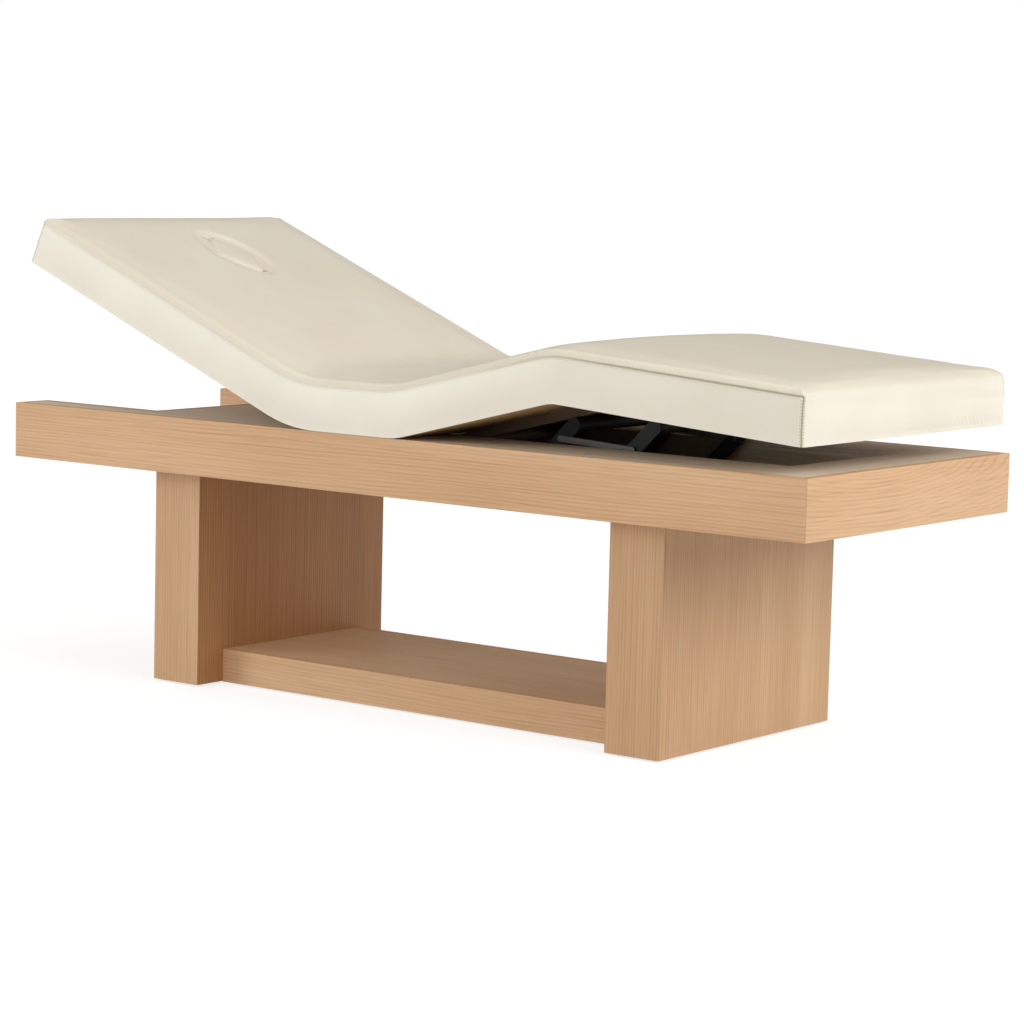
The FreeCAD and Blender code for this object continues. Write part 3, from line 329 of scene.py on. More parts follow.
@dataclass(frozen=True)
class CreamVinyl:
    """Cream upholstery vinyl, embossed with a fine leather grain: a soft sheen and stitched seams, with
    painted shade in the seam folds and needle holes.
    """

    colour: str = "#F0E6D2"
    shade: str = "#E8DCC7"
    thread: str = "#F3EEDF"
    # The fold colour is painted shade for the seam folds and needle holes
    fold: str = "#9C8C66"
    # The real emboss is finer than a millimetre; it is drawn at 2.6 mm so that it shows
    emboss: float = 2.6 * MM
    # The seams count in millimetres, as their attributes on the mesh do
    stitch_length: float = 5.5
    stitch_place: float = 4.4
    # The long seam hardly shows at the head and is drawn tight from here to here; its painted shade grows
    # over the same stretch
    tightens: tuple = (1250.0, 1600.0)
    roughness: float = 0.32

    def seam(self, sheet: Sheet, name: str) -> list:
        """Masks of a seam's fold, stitches and needle holes, from the mesh's seam attributes.

        Args:
            sheet: The material's nodes.
            name: The seam's name, which its two attributes start with.

        Returns:
            The masks of the fold, the stitches and the needle holes.
        """
        away = sheet.sums("SUBTRACT", SEAM_FAR, sheet.attribute(name + "_near"))
        offset = sheet.sums("ABSOLUTE", sheet.sums("SUBTRACT", away, self.stitch_place))
        row = sheet.spread(offset, (0.6, 1.3), (1.0, 0.0))
        turns = sheet.sums("MULTIPLY", sheet.attribute(name + "_run"), 2 * math.pi / self.stitch_length)
        dash = sheet.sums("MULTIPLY_ADD", sheet.sums("SINE", turns), 1.6, 0.7, clamp=True)
        gap = sheet.sums("SUBTRACT", 1.0, dash)
        fold = sheet.spread(away, (0.9, 2.6), (1.0, 0.0))
        return [fold, sheet.sums("MULTIPLY", row, dash), sheet.sums("MULTIPLY", row, gap)]

    def material(self) -> Material:
        """Build the vinyl.

        Returns:
            The material.
        """
        sheet = Sheet(bpy.data.materials.new("cream_vinyl"))
        place = sheet.place()
        cloud = sheet.noise(place, 220 * MM, 2.0)
        drawn = sheet.spread(sheet.attribute("long_run"), self.tightens, (0.12, 1.0))
        both = []
        for mask, end_mask, share in zip(self.seam(sheet, "long"), self.seam(sheet, "end"), (0.9, 1.0, 0.35)):
            faded = sheet.sums("MULTIPLY", sheet.sums("MULTIPLY", mask, drawn), share)
            both.append(sheet.sums("MAXIMUM", faded, end_mask))
        fold, thread, hole = both
        # Painted shade: the seam folds and needle holes are darkened towards the fold colour
        seam_shade = sheet.sums("MULTIPLY", sheet.sums("MAXIMUM", fold, hole), 0.75)
        skin = sheet.mix(seam_shade, sheet.ramp(cloud, [(0.25, self.colour), (0.8, self.shade)]), self.fold)
        cells = sheet.add("ShaderNodeTexVoronoi", {"Vector": place, "Scale": 1 / self.emboss}, feature="F1")
        grain = sheet.sums("MULTIPLY_ADD", sheet.noise(place, 9 * MM, 4.0), 0.8, cells.outputs["Distance"])
        sewing = sheet.bump(sheet.sums("SUBTRACT", thread, sheet.sums("MULTIPLY", fold, 1.6)), 0.8, 0.6 * MM)
        sheet.tree.links.new(sheet.bump(grain, 0.10, 0.25 * MM).outputs[0], sewing.inputs["Normal"])
        return sheet.coat({
            "Base Color": sheet.mix(sheet.sums("MULTIPLY", thread, 0.8), skin, self.thread),
            "Roughness": sheet.spread(cloud, to=(self.roughness - 0.05, self.roughness + 0.08)),
            "Normal": sewing.outputs[0],
            "IOR": 1.70,
        })


@dataclass(frozen=True)
class CoatedMetal:
    """Steel with a coat or a bare turned face: faint clouds of wear in colour and gloss, a fine relief."""

    name: str
    colour: str
    rubbed: str
    metallic: float
    roughness: float
    relief: float = 0.05 * MM
    # The real grain of a coat or a turned face is finer; it is drawn at 3 mm so that it shows
    peel: float = 3 * MM

    def material(self) -> Material:
        """Build the metal.

        Returns:
            The material.
        """
        sheet = Sheet(bpy.data.materials.new(self.name))
        place = sheet.place()
        worn = sheet.noise(place, 60 * MM, 5.0)
        return sheet.coat({
            "Base Color": sheet.ramp(worn, [(0.45, self.colour), (0.85, self.rubbed)]),
            "Roughness": sheet.spread(worn, to=(self.roughness - 0.08, self.roughness + 0.12)),
            "Normal": sheet.bump(sheet.noise(place, self.peel, 3.0), 0.3, self.relief).outputs[0],
            "Metallic": self.metallic,
        })


@dataclass(frozen=True)
class MouldedPlastic:
    """Moulded plastic with a spark-eroded texture: an even colour under a fine matt grain."""

    name: str
    colour: str
    dusty: str
    roughness: float = 0.55
    # The real texture is about a tenth of a millimetre; it is drawn at 1.5 mm so that it shows
    texture: float = 1.5 * MM

    def material(self) -> Material:
        """Build the plastic.

        Returns:
            The material.
        """
        sheet = Sheet(bpy.data.materials.new(self.name))
        place = sheet.place()
        dust = sheet.noise(place, 45 * MM, 4.0)
        return sheet.coat({
            "Base Color": sheet.ramp(dust, [(0.4, self.colour), (0.9, self.dusty)]),
            "Roughness": self.roughness,
            "Normal": sheet.bump(sheet.noise(place, self.texture, 2.0), 0.35, 0.08 * MM).outputs[0],
        })


# Shared mesh work


def placed(name: str, data: bpy.types.ID) -> Piece:
    """Put an object round its data into the scene, at the origin.

    Args:
        name: The object's name.
        data: Its mesh, lamp or camera.

    Returns:
        The new object.
    """
    piece = bpy.data.objects.new(name, data)
    bpy.context.scene.collection.objects.link(piece)
    return piece


def finish_mesh(name: str, mesh: Mesh, finish: Material, smooth_below: float = 40.0) -> Piece:
    """Turn a bmesh into a piece at the origin.

    Args:
        name: The piece's name.
        mesh: The finished bmesh, which is freed.
        finish: Its material.
        smooth_below: Edges that turn by less than this many degrees are shaded smooth.

    Returns:
        The new object.
    """
    limit = math.radians(smooth_below)
    for face in mesh.faces:
        face.smooth = True
    for edge in mesh.edges:
        edge.smooth = len(edge.link_faces) == 2 and edge.calc_face_angle(0.0) < limit
    data = bpy.data.meshes.new(name)
    mesh.to_mesh(data)
    mesh.free()
    data.materials.append(finish)
    piece = placed(name, data)
    return piece


def discard(piece: Piece) -> None:
    """Remove a helper and its mesh.

    Args:
        piece: The helper.
    """
    data = piece.data
    bpy.data.objects.remove(piece)
    bpy.data.meshes.remove(data)


def column(mesh: Mesh, sides: int, rings: list, outline: Callable[[float, float], tuple]) -> list:
    """Add a closed column of rings, from the bottom up.

    Each ring takes its angles from the ring under it, so in an oval the points draw to its tips.

    Args:
        mesh: The bmesh to add to.
        sides: Points round each ring.
        rings: A measure for the outline, and the height, of each ring.
        outline: Gives a point's two places in its ring from its angle and the ring's measure.

    Returns:
        The new vertices.
    """
    made = list(bmesh.ops.create_circle(mesh, segments=sides, radius=1.0, cap_ends=True)["verts"])
    face = next(f for f in made[0].link_faces if len(f.verts) == sides)
    for index, (measure, height) in enumerate(rings):
        if index:
            grown = bmesh.ops.extrude_face_region(mesh, geom=[face], use_keep_orig=index == 1)["geom"]
            face = next(item for item in grown if isinstance(item, bmesh.types.BMFace))
            made.extend(face.verts)
        for vertex in face.verts:
            vertex.co = (*outline(math.atan2(vertex.co.y, vertex.co.x), measure), height)
    return made


def on_circle(angle: float, radius: float) -> tuple:
    """A point of a circle."""
    return radius * math.cos(angle), radius * math.sin(angle)


def dress(nodes: tuple, material: Material) -> None:
    """Give carried-over nodes a material.

    Args:
        nodes: Their names.
        material: Their finish.
    """
    for name in nodes:
        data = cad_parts[name].data
        data.materials.clear()
        data.materials.append(material)
        LOG.info("dressed %s", name)


# The base


@dataclass
class WoodenBase:
    """The veneered tray, slab legs and shelf."""

    arris: float = 0.9 * MM
    along: tuple = ("near_apron", "far_apron", "notch_side_linings", "shelf_rails")
    top: tuple = ("shelf_top",)
    across: tuple = ("foot_apron", "arm_end_caps", "notch_back_lining")
    upright: tuple = ("head_slab_outer_panel", "head_slab_edges", "foot_slab_outer_panel", "foot_slab_edges")
    # Inner slab panels, veneered darker as painted shade
    painted_shade_inner: tuple = ("head_slab_inner_panel", "foot_slab_inner_panel")
    hidden: tuple = ("slab_core_plates", "shelf_rib", "tray_bottom_panel", "well_walls")

    def eased_board(self, node: str, finish: Material) -> None:
        """Stand a board with eased edges in for a sharp-edged node.

        Args:
            node: The node's name.
            finish: Its veneer.
        """
        mesh = bmesh.new()
        mesh.from_mesh(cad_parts[node].data)
        bmesh.ops.remove_doubles(mesh, verts=mesh.verts, dist=1e-5)
        bmesh.ops.dissolve_limit(mesh, angle_limit=math.radians(1), verts=mesh.verts, edges=mesh.edges)
        corners = [edge for edge in mesh.edges if edge.calc_face_angle(0.0) > math.radians(30)]
        bmesh.ops.bevel(mesh, geom=corners, offset=self.arris, segments=2, profile=0.5, affect="EDGES",
                        material=-1, clamp_overlap=True)
        piece = finish_mesh("veneer_" + node, mesh, finish, 20.0)
        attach(piece, "base")
        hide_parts(node)
        LOG.info("veneered %s", node)

    def build(self) -> None:
        """Build the boards and dress what stays."""
        looks = (
            (self.along, AshVeneer(Grain.ALONG_BED, 5.0, drift=(800 * MM, 110 * MM), late_wood=0.20)),
            (self.top, AshVeneer(Grain.ALONG_BED, 4.0, pale="#F0D0AC", mid="#E5C099", deep="#BE936C")),
            (self.across, AshVeneer(Grain.ACROSS_BED, 3.0, drift=(420 * MM, 60 * MM),
                                    arch=(-0.14, 0.602, 5.0), late_wood=0.17)),
            (self.upright, AshVeneer(Grain.UPRIGHT, 2.0, pale="#E6BD92", mid="#D7A97E", deep="#AC7C54",
                                     late_wood=0.20)),
            # Painted shade: the leaves that face the shelf get a darker, warmer veneer for the shade and
            # bounce light under the tray
            (self.painted_shade_inner, AshVeneer(Grain.UPRIGHT, 1.0, pale="#CA9563", mid="#BA8250", deep="#935F34")),
        )
        for nodes, look in looks:
            finish = look.material()
            for node in nodes:
                self.eased_board(node, finish)
        # Painted light: the deck veneer is paler than the other boards, to brighten the deck where the
        # mattress shades it
        deck = AshVeneer(Grain.ALONG_BED, 4.0, pale="#F8EDDB", mid="#F2E2CB", deep="#D2BDA0")
        dress(("deck_panel",), deck.material())
        # Painted light: the hidden plywood parts in the well are paler than raw birch, to brighten the well
        # that the mattress shades
        dress(self.hidden, Plywood("plywood_painted_light", "#EADCC6", "#CDB898").material())


# The mattress


@dataclass
class BedLine:
    """The side view of the mattress at rest: where its under and upper lines run.

    A point of the flat mattress is (u, y, h): the length from the head end, the place across and
    the height over the hinge line. The line carries it to its bent place.
    """

    # Hinges in the plane of X and Z
    back_axis: Vector = field(default_factory=lambda: Vector((-0.220, 0.555)))
    thigh_axis: Vector = field(default_factory=lambda: Vector((0.059, 0.555)))
    thigh_length: float = 0.386
    back_length: float = 0.803
    leg_length: float = 0.555
    back_lean: float = math.radians(22.4)
    thigh_lean: float = math.radians(-14.2)
    leg_lean: float = math.radians(4.2)
    under: float = 15.5 * MM
    crest: float = 121.5 * MM
    hip_reach: tuple = (70 * MM, 60 * MM)
    thigh_reach: tuple = (22 * MM, 46 * MM)
    knee_reach: tuple = (16 * MM, 42 * MM)
    end_rake: float = 7 * MM
    fold_steps: int = 12
    length: float = field(init=False)
    stations: list = field(default_factory=list)
    marks: dict = field(default_factory=dict)

    def __post_init__(self) -> None:
        """Lay the stations out from head to foot."""
        knee = self.thigh_axis + self.thigh_length * self.along(self.thigh_lean)
        head = self.back_axis - self.back_length * self.along(self.back_lean)
        self.append([head + h * self.up(self.back_lean) for h in (self.under, self.crest)])
        for name, axis, before, after, reach in (
            ("hip", self.back_axis, self.back_lean, 0.0, self.hip_reach),
            ("thigh", self.thigh_axis, 0.0, self.thigh_lean, self.thigh_reach),
            ("knee", knee, self.thigh_lean, self.leg_lean, self.knee_reach),
        ):
            curves = [self.fold(axis, before, after, height, length)
                      for height, length in zip((self.under, self.crest), reach)]
            for step in range(self.fold_steps + 1):
                self.append([self.curve(points, step / self.fold_steps) for points in curves])
                self.marks.setdefault(name + "_start", self.stations[-1][0])
            self.marks[name + "_end"] = self.stations[-1][0]
        self.append([knee + (self.leg_length - back) * self.along(self.leg_lean) + h * self.up(self.leg_lean)
                     for h, back in ((self.under, 0.0), (self.crest, self.end_rake))])
        self.length = self.stations[-1][0]

    @staticmethod
    def along(lean: float) -> Vector:
        """The direction of a section towards the foot end."""
        return Vector((math.cos(lean), -math.sin(lean)))

    @staticmethod
    def up(lean: float) -> Vector:
        """The direction square to a section."""
        return Vector((math.sin(lean), math.cos(lean)))

    def append(self, pair: list) -> None:
        """Add a station.

        Args:
            pair: Its under point and its upper point.
        """
        u = 0.0
        if self.stations:
            last_u, last_low, last_high = self.stations[-1]
            u = last_u + ((pair[0] - last_low).length + (pair[1] - last_high).length) / 2
        self.stations.append((u, pair[0], pair[1]))

    def fold(self, axis: Vector, before: float, after: float, height: float, reach: float) -> tuple:
        """The bend of one line at a hinge.

        Args:
            axis: The hinge.
            before: The lean of the section on its head side.
            after: The lean of the section on its foot side.
            height: The line's height over the hinge line.
            reach: How far the bend reaches on either side.

        Returns:
            Three control points.
        """
        middle = (self.up(before) + self.up(after)).normalized()
        crease = axis + middle * (height / middle.dot(self.up(before)))
        return crease - reach * self.along(before), crease, crease + reach * self.along(after)

    @staticmethod
    def curve(points: tuple, share: float) -> Vector:
        """A point of a quadratic curve."""
        a, b, c = points
        return a * (1 - share) ** 2 + b * (2 * share * (1 - share)) + c * share ** 2

    def bent(self, flat: Vector) -> Vector:
        """Carry a point of the flat mattress to its bent place.

        Args:
            flat: Length from the head end, place across and height over the hinge line.

        Returns:
            The point in the frame of the part.
        """
        places = [station[0] for station in self.stations]
        index = min(max(bisect_right(places, flat.x) - 1, 0), len(places) - 2)
        u0, low0, high0 = self.stations[index]
        u1, low1, high1 = self.stations[index + 1]
        share = (flat.x - u0) / (u1 - u0)
        low = low0.lerp(low1, share)
        high = high0.lerp(high1, share)
        point = low + (high - low) * ((flat.z - self.under) / (self.crest - self.under))
        return Vector((point.x, flat.y, point.y))

    def on_back(self, x: float, y: float, h: float) -> Vector:
        """A point of the back section's own frame, x counted from its hinge."""
        point = self.back_axis + x * self.along(self.back_lean) + h * self.up(self.back_lean)
        return Vector((point.x, y, point.y))


def ease(value: float, low: float, high: float) -> float:
    """A smooth step from zero to one."""
    share = min(1.0, max(0.0, (value - low) / (high - low)))
    return share * share * (3 - 2 * share)


def bell(value: float, middle: float, width: float) -> float:
    """A smooth hump of height one."""
    return math.exp(-(((value - middle) / width) ** 2))


@dataclass(frozen=True)
class EndCreases:
    """Short slanting creases low on the foot end, where the cover is pulled under."""

    depth: float = 1.7 * MM
    pitch: float = 4.6 * MM
    slant: float = 0.7
    reach: float = 7 * MM
    heights: tuple = (16 * MM, 80 * MM)
    across: tuple = (-20 * MM, 355 * MM)
    # The middle, half width and strength of each bundle of creases
    bundles: tuple = ((235 * MM, 70 * MM, 1.0), (80 * MM, 30 * MM, 0.5))

    def holds(self, vertex: bmesh.types.BMVert, length: float) -> bool:
        """Whether a vertex lies in the creased part of the end."""
        (low, high), (near, far) = self.heights, self.across
        return vertex.co.x > length - self.reach and low < vertex.co.z < high and near < vertex.co.y < far

    def press(self, mesh: Mesh, length: float) -> None:
        """Cut the creased part of the end finer and press the creases in.

        Args:
            mesh: The flat mattress.
            length: Its length.
        """
        low = [edge for edge in mesh.edges if all(self.holds(vertex, length) for vertex in edge.verts)]
        bmesh.ops.subdivide_edges(mesh, edges=low, cuts=3, use_grid_fill=True)
        for vertex in mesh.verts:
            if not self.holds(vertex, length):
                continue
            y, h = vertex.co.yz
            fade = bell(h, 30 * MM, 20 * MM) * ease(h, 17 * MM, 24 * MM)
            patch = sum(strength * bell(y, middle, width) for middle, width, strength in self.bundles)
            along = y + (h - 20 * MM) * self.slant + 4 * MM * noise.noise((y * 40, h * 40, 2.0))
            vertex.co.x += self.depth * fade * patch * (abs(math.sin(along / self.pitch)) - 0.5)


@dataclass(frozen=True)
class AirFill:
    """Stuffing as a cloth under air pressure: it rounds the faces while the seams hold."""

    swell: float = 2.5 * MM
    frames: int = 20
    pressure: float = 4.0
    cover: tuple = (("quality", 6), ("mass", 0.4), ("tension_stiffness", 60), ("compression_stiffness", 60),
                    ("shear_stiffness", 30), ("bending_stiffness", 12), ("vertex_group_mass", "sewn"),
                    ("use_pressure", True))

    def swollen(self, mesh: Mesh, held: list, finish: Material) -> Mesh:
        """Fill the cover and keep a capped share of what it moves.

        Args:
            mesh: The shaped flat mattress, which is freed.
            held: The numbers of the vertices that stay.
            finish: Its material.

        Returns:
            The flat mattress after the fill.
        """
        rest = [vertex.co.copy() for vertex in mesh.verts]
        piece = finish_mesh("mattress_fill", mesh, finish)
        piece.vertex_groups.new(name="sewn").add(held, 1.0, "REPLACE")
        cloth = piece.modifiers.new("fill", "CLOTH")
        for name, value in self.cover:
            setattr(cloth.settings, name, value)
        cloth.settings.uniform_pressure_force = self.pressure
        cloth.settings.effector_weights.gravity = 0.0
        cloth.point_cache.frame_start = 1
        cloth.point_cache.frame_end = self.frames
        scene = bpy.context.scene
        for frame in range(1, self.frames + 1):
            scene.frame_set(frame)
        filled = piece.evaluated_get(bpy.context.evaluated_depsgraph_get())
        result = bmesh.new()
        result.from_mesh(filled.to_mesh())
        for vertex, start in zip(result.verts, rest):
            move = vertex.co - start
            if move.length > 1e-9:
                vertex.co = start + move.normalized() * (self.swell * math.tanh(move.length / self.swell))
        filled.to_mesh_clear()
        scene.frame_set(1)
        discard(piece)
        return result


@dataclass
class Mattress:
    """One long box mattress in vinyl, sewn along the upper side edges and up the corners."""

    line: BedLine
    half_width: float = 374.0 * MM
    rim: float = 14 * MM
    end_stretch: float = 1.8
    plan_near: float = 11 * MM
    plan_far: float = 19 * MM
    crown: float = 8 * MM
    crown_run: float = 70 * MM
    board_top: float = 30.6 * MM
    board_inset: float = 3.4 * MM
    seam_height: float = 104.5 * MM
    # The sides stand straight up to the waist and lean in by this much at the seam
    waist: float = 62 * MM
    lean_in: float = 2.6 * MM
    cut_along: float = 12.5 * MM
    cut_across: float = 15 * MM
    edge_steps: tuple = (0.0, 1.6, 3.3, 3.5, 6.0, 9.0, 13.0, 18.0, 24.0, 32.0)
    side_steps: tuple = (15.5, 18.0, 24.0, 31.0, 41.0, 52.0, 63.0, 74.0, 84.0, 91.0)
    seam_steps: tuple = (-4.5, -2.4, -1.0, 0.0, 1.0, 2.4)
    crest_steps: tuple = (12.0, 8.0, 4.0, 0.0)
    # Millimetres: the width and depth of the pull at the seams, and the reach and depth of their puckers
    long_pull: tuple = (2.6, 0.7)
    end_pull: tuple = (2.8, 1.4)
    pucker_reach: float = 8.0
    pucker_depth: float = 0.45
    # The long seams are pulled deeper by this from here on, over a stretch
    tight_pull: float = 1.3
    tight_from: float = 1.25
    tight_stretch: float = 0.35
    rim_sink: float = 3.2 * MM
    puff: float = 5.4 * MM
    puff_rings: tuple = (1.1, 1.42, 2.15)
    dimple: float = 2.4 * MM
    plug_centre: float = 223 * MM
    plug_half_length: float = 86 * MM
    plug_half_width: float = 53 * MM
    # More than one points the tips of the oval
    oval_power: float = 1.12
    roll: float = 7 * MM
    plug_gap: float = 1.4 * MM
    plug_proud: float = 2.4 * MM
    # The plug's top drops by these millimetres over its whole width and close to its edge
    dome: float = 2.2
    dome_edge: float = 16.8
    dome_steps: tuple = (0.0, 0.4, 0.9, 1.6, 2.5, 3.7, 5.3, 7.4, 10.2, 13.6, 17.6, 22.0, 27.0, 32.0, 37.0,
                         42.0, 47.0)

    def stations(self, length: float, step: float) -> list:
        """Cutting places along one axis, close at both ends and even between.

        Args:
            length: The whole length.
            step: The widest spacing.

        Returns:
            Places from zero to the length.
        """
        ends = [value * MM for value in self.edge_steps]
        inner = length - 2 * ends[-1]
        count = max(1, round(inner / step))
        middle = [ends[-1] + inner * index / count for index in range(1, count)]
        return ends + middle + [length - value for value in reversed(ends)]

    def box(self) -> Mesh:
        """A box whose faces are cut at the stations, still square.

        Returns:
            The box.
        """
        heights = [value * MM for value in self.side_steps]
        heights += [self.seam_height + value * MM for value in self.seam_steps]
        heights += [self.line.crest - value * MM for value in self.crest_steps]
        across = [value - self.half_width for value in self.stations(2 * self.half_width, self.cut_across)]
        axes = [self.stations(self.line.length, self.cut_along), across, heights]
        mesh = bmesh.new()
        bmesh.ops.create_cube(mesh, size=1.0)
        for axis, places in enumerate(axes):
            edges = [edge for edge in mesh.edges
                     if abs(edge.verts[0].co[axis] - edge.verts[1].co[axis]) > 0.5]
            bmesh.ops.subdivide_edges(mesh, edges=edges, cuts=len(places) - 2, use_grid_fill=True)
        for vertex in mesh.verts:
            for axis, places in enumerate(axes):
                vertex.co[axis] = places[round((vertex.co[axis] + 0.5) * (len(places) - 1))]
        return mesh

    def rounded(self, to_end: float, to_side: float, depth: float, plan: float) -> tuple:
        """Roll the upper rim and round the corners in plan.

        Args:
            to_end: Distance from the nearer end.
            to_side: Distance from the nearer side.
            depth: Distance below the crest.
            plan: The corner's radius in plan.

        Returns:
            The three distances after rounding.
        """
        radius = self.rim
        to_end /= self.end_stretch
        inset = min(to_end, to_side)
        if depth < radius and inset < radius:
            share = inset / radius if depth <= 1e-9 else -depth / radius
            turn = math.radians(45 + 45 * share)
            new_inset = radius * (1 - math.cos(turn))
            depth = radius * (1 - math.sin(turn))
            to_end = self.slid(to_end, inset, new_inset)
            to_side = self.slid(to_side, inset, new_inset)
        to_end *= self.end_stretch
        inset = min(to_end, to_side)
        if to_end < plan and to_side < plan:
            share = (max(to_end, to_side) - inset) / (plan - inset)
            turn = math.radians(45 * (1 - share))
            if to_end > to_side:
                turn = math.pi / 2 - turn
            to_end = plan - (plan - inset) * math.cos(turn)
            to_side = plan - (plan - inset) * math.sin(turn)
        return to_end, to_side, depth

    def slid(self, place: float, inset: float, new_inset: float) -> float:
        """Move one distance so that its ring goes from one inset to another.

        Args:
            place: The distance from an end or a side.
            inset: The ring's inset before.
            new_inset: The ring's inset after.

        Returns:
            The distance after.
        """
        if place >= self.rim:
            return place
        return new_inset + (place - inset) * (self.rim - new_inset) / (self.rim - inset)

    def side_reach(self, height: float) -> float:
        """How far the side stands out at a height."""
        fall = min(max(height - self.waist, 0.0) / (self.seam_height - self.waist), 1.0)
        return self.half_width - self.lean_in * fall ** 2

    def shaped(self, mesh: Mesh) -> None:
        """Round the square box, hollow its underside for the boards and crown its top.

        Args:
            mesh: The square box, which also gets the seam attributes.
        """
        length = self.line.length
        near_long, run_long, near_end, run_end = [mesh.verts.layers.float.new(name) for name in SEAM_LAYERS]
        for vertex in mesh.verts:
            u, y, h = vertex.co
            to_end = min(u, length - u)
            to_side = self.half_width - abs(y)
            under = h <= self.line.under + 1e-9
            if to_side < 1e-9:
                vertex[near_long] = max(0.0, SEAM_FAR - abs(h - self.seam_height) / MM)
            vertex[run_long] = u / MM
            if h < self.seam_height and min(to_end, to_side) < 1e-9:
                vertex[near_end] = max(0.0, SEAM_FAR - max(to_end, to_side) / MM)
            vertex[run_end] = h / MM
            if under and min(to_end, to_side) > self.board_inset:
                vertex.co.z = self.board_top
                continue
            plan = self.plan_far if y > 0 else self.plan_near
            to_end, to_side, depth = self.rounded(to_end, to_side, self.line.crest - h, plan)
            h = self.line.crest - depth
            if not under and depth < 0.5 * self.rim:
                width = 1 - (y / (self.half_width - self.rim)) ** 2
                h += self.crown * max(0.0, width) * ease(to_end - self.rim * 0.4, 0.0, self.crown_run)
            out = max(self.side_reach(h) - to_side, 0.0)
            vertex.co = Vector((to_end if u < length / 2 else length - to_end,
                                math.copysign(out, y) if abs(y) > 1e-9 else 0.0, h))
        bmesh.ops.recalc_face_normals(mesh, faces=mesh.faces)

    def sewn(self, mesh: Mesh) -> list:
        """The vertices that the foot and the long seams hold.

        Args:
            mesh: The shaped flat mattress.

        Returns:
            Their numbers.
        """
        return [vertex.index for vertex in mesh.verts
                if vertex.co.z < 26 * MM or abs(vertex.co.z - self.seam_height) < 3 * MM
                and abs(vertex.co.y) > self.half_width - 8 * MM]

    def lens(self, x: float, y: float) -> float:
        """How far a point lies in the oval of the face hole: one on its edge, zero in its middle."""
        return math.hypot(x / self.plug_half_length, y / self.plug_half_width)

    def drawn(self, away: float, width: float, depth: float, phase: float) -> float:
        """How far a seam draws the cover in at a distance in millimetres, with its puckers."""
        pucker = math.exp(-away / self.pucker_reach) * self.pucker_depth * math.sin(phase)
        return (bell(away, 0.0, width) * depth + pucker) * MM

    def worked(self, mesh: Mesh) -> None:
        """Pull the seams in, lay puckers and soft waves, and sink the top round the face hole.

        Args:
            mesh: The filled flat mattress.
        """
        length = self.line.length
        near_long, _, near_end, _ = [mesh.verts.layers.float[name] for name in SEAM_LAYERS]
        top = self.line.crest - 2 * MM
        around = [edge for edge in mesh.edges
                  if all(vertex.co.z > top and self.lens(vertex.co.x - self.plug_centre, vertex.co.y) < 2.2
                         for vertex in edge.verts)]
        bmesh.ops.subdivide_edges(mesh, edges=around, cuts=3, use_grid_fill=True)
        for vertex in mesh.verts:
            u, y, h = vertex.co
            outward = math.copysign(1.0, y)
            away = SEAM_FAR - vertex[near_long]
            if away < 12:
                tight = min(1.0, max(0.0, (u - self.tight_from) / self.tight_stretch))
                width, depth = self.long_pull
                phase = u / (6.5 * MM) + 2 * noise.noise((u * 14, y, 0))
                vertex.co.y -= outward * self.drawn(away, width, depth + self.tight_pull * tight, phase)
            corner = SEAM_FAR - vertex[near_end]
            if corner < 14:
                phase = h / (5.5 * MM) + 3 * noise.noise((h * 30, u, 0))
                pull = self.drawn(corner, *self.end_pull, phase)
                vertex.co.y -= outward * pull
                vertex.co.x += pull * (1 if u < length / 2 else -1)
            if abs(y) > self.half_width - 6 * MM and 34 * MM < h < 98 * MM:
                wave = noise.noise((u * 9, outward * 5, h * 4)) * 0.9
                wave += noise.noise((u * 30, outward * 9, h * 12)) * 0.35
                vertex.co.y += outward * wave * MM * 0.8
            if h > top:
                soft = noise.noise((u * 5, y * 5, 1.0)) * 0.9 + noise.noise((u * 17, y * 17, 4.0)) * 0.25
                vertex.co.z = self.hole_relief(u - self.plug_centre, y, h + soft * MM)
        EndCreases().press(mesh, length)

    def hole_top(self) -> float:
        """The height of the face hole's even rim, sunk under the crowned top."""
        return self.line.crest + self.crown - self.rim_sink

    def hole_relief(self, x: float, y: float, height: float) -> float:
        """The height of the top near the face hole: a sunk even rim, a puffed ring and dimpled tips.

        Args:
            x: Distance from the hole's middle along the bed.
            y: Distance across.
            height: The height without the hole.

        Returns:
            The worked height.
        """
        ring = self.lens(x, y)
        inner, middle, outer = self.puff_rings
        puffed = self.hole_top() + self.puff * ease(ring, inner, middle)
        tip = math.hypot(abs(x) - self.plug_half_length - 4 * MM, y)
        return puffed + (height - puffed) * ease(ring, middle, outer) - self.dimple * bell(tip, 0.0, 10 * MM)

    def portion(self, whole: Mesh, start: float, end: float) -> Mesh:
        """Cut a stretch out of the flat mattress, close its cut faces and bend it to its place.

        Args:
            whole: The flat mattress.
            start: Where the stretch starts.
            end: Where it ends.

        Returns:
            The bent stretch.
        """
        part = whole.copy()
        for place, way in ((start, -1.0), (end, 1.0)):
            if not 0 < place < self.line.length:
                continue
            geometry = part.verts[:] + part.edges[:] + part.faces[:]
            cut = bmesh.ops.bisect_plane(part, geom=geometry, plane_co=(place, 0, 0), plane_no=(way, 0, 0),
                                         clear_outer=True)["geom_cut"]
            rim = [item for item in cut if isinstance(item, bmesh.types.BMEdge)]
            bmesh.ops.holes_fill(part, edges=rim, sides=0)
        for vertex in part.verts:
            vertex.co = self.line.bent(vertex.co)
        bmesh.ops.recalc_face_normals(part, faces=part.faces)
        return part

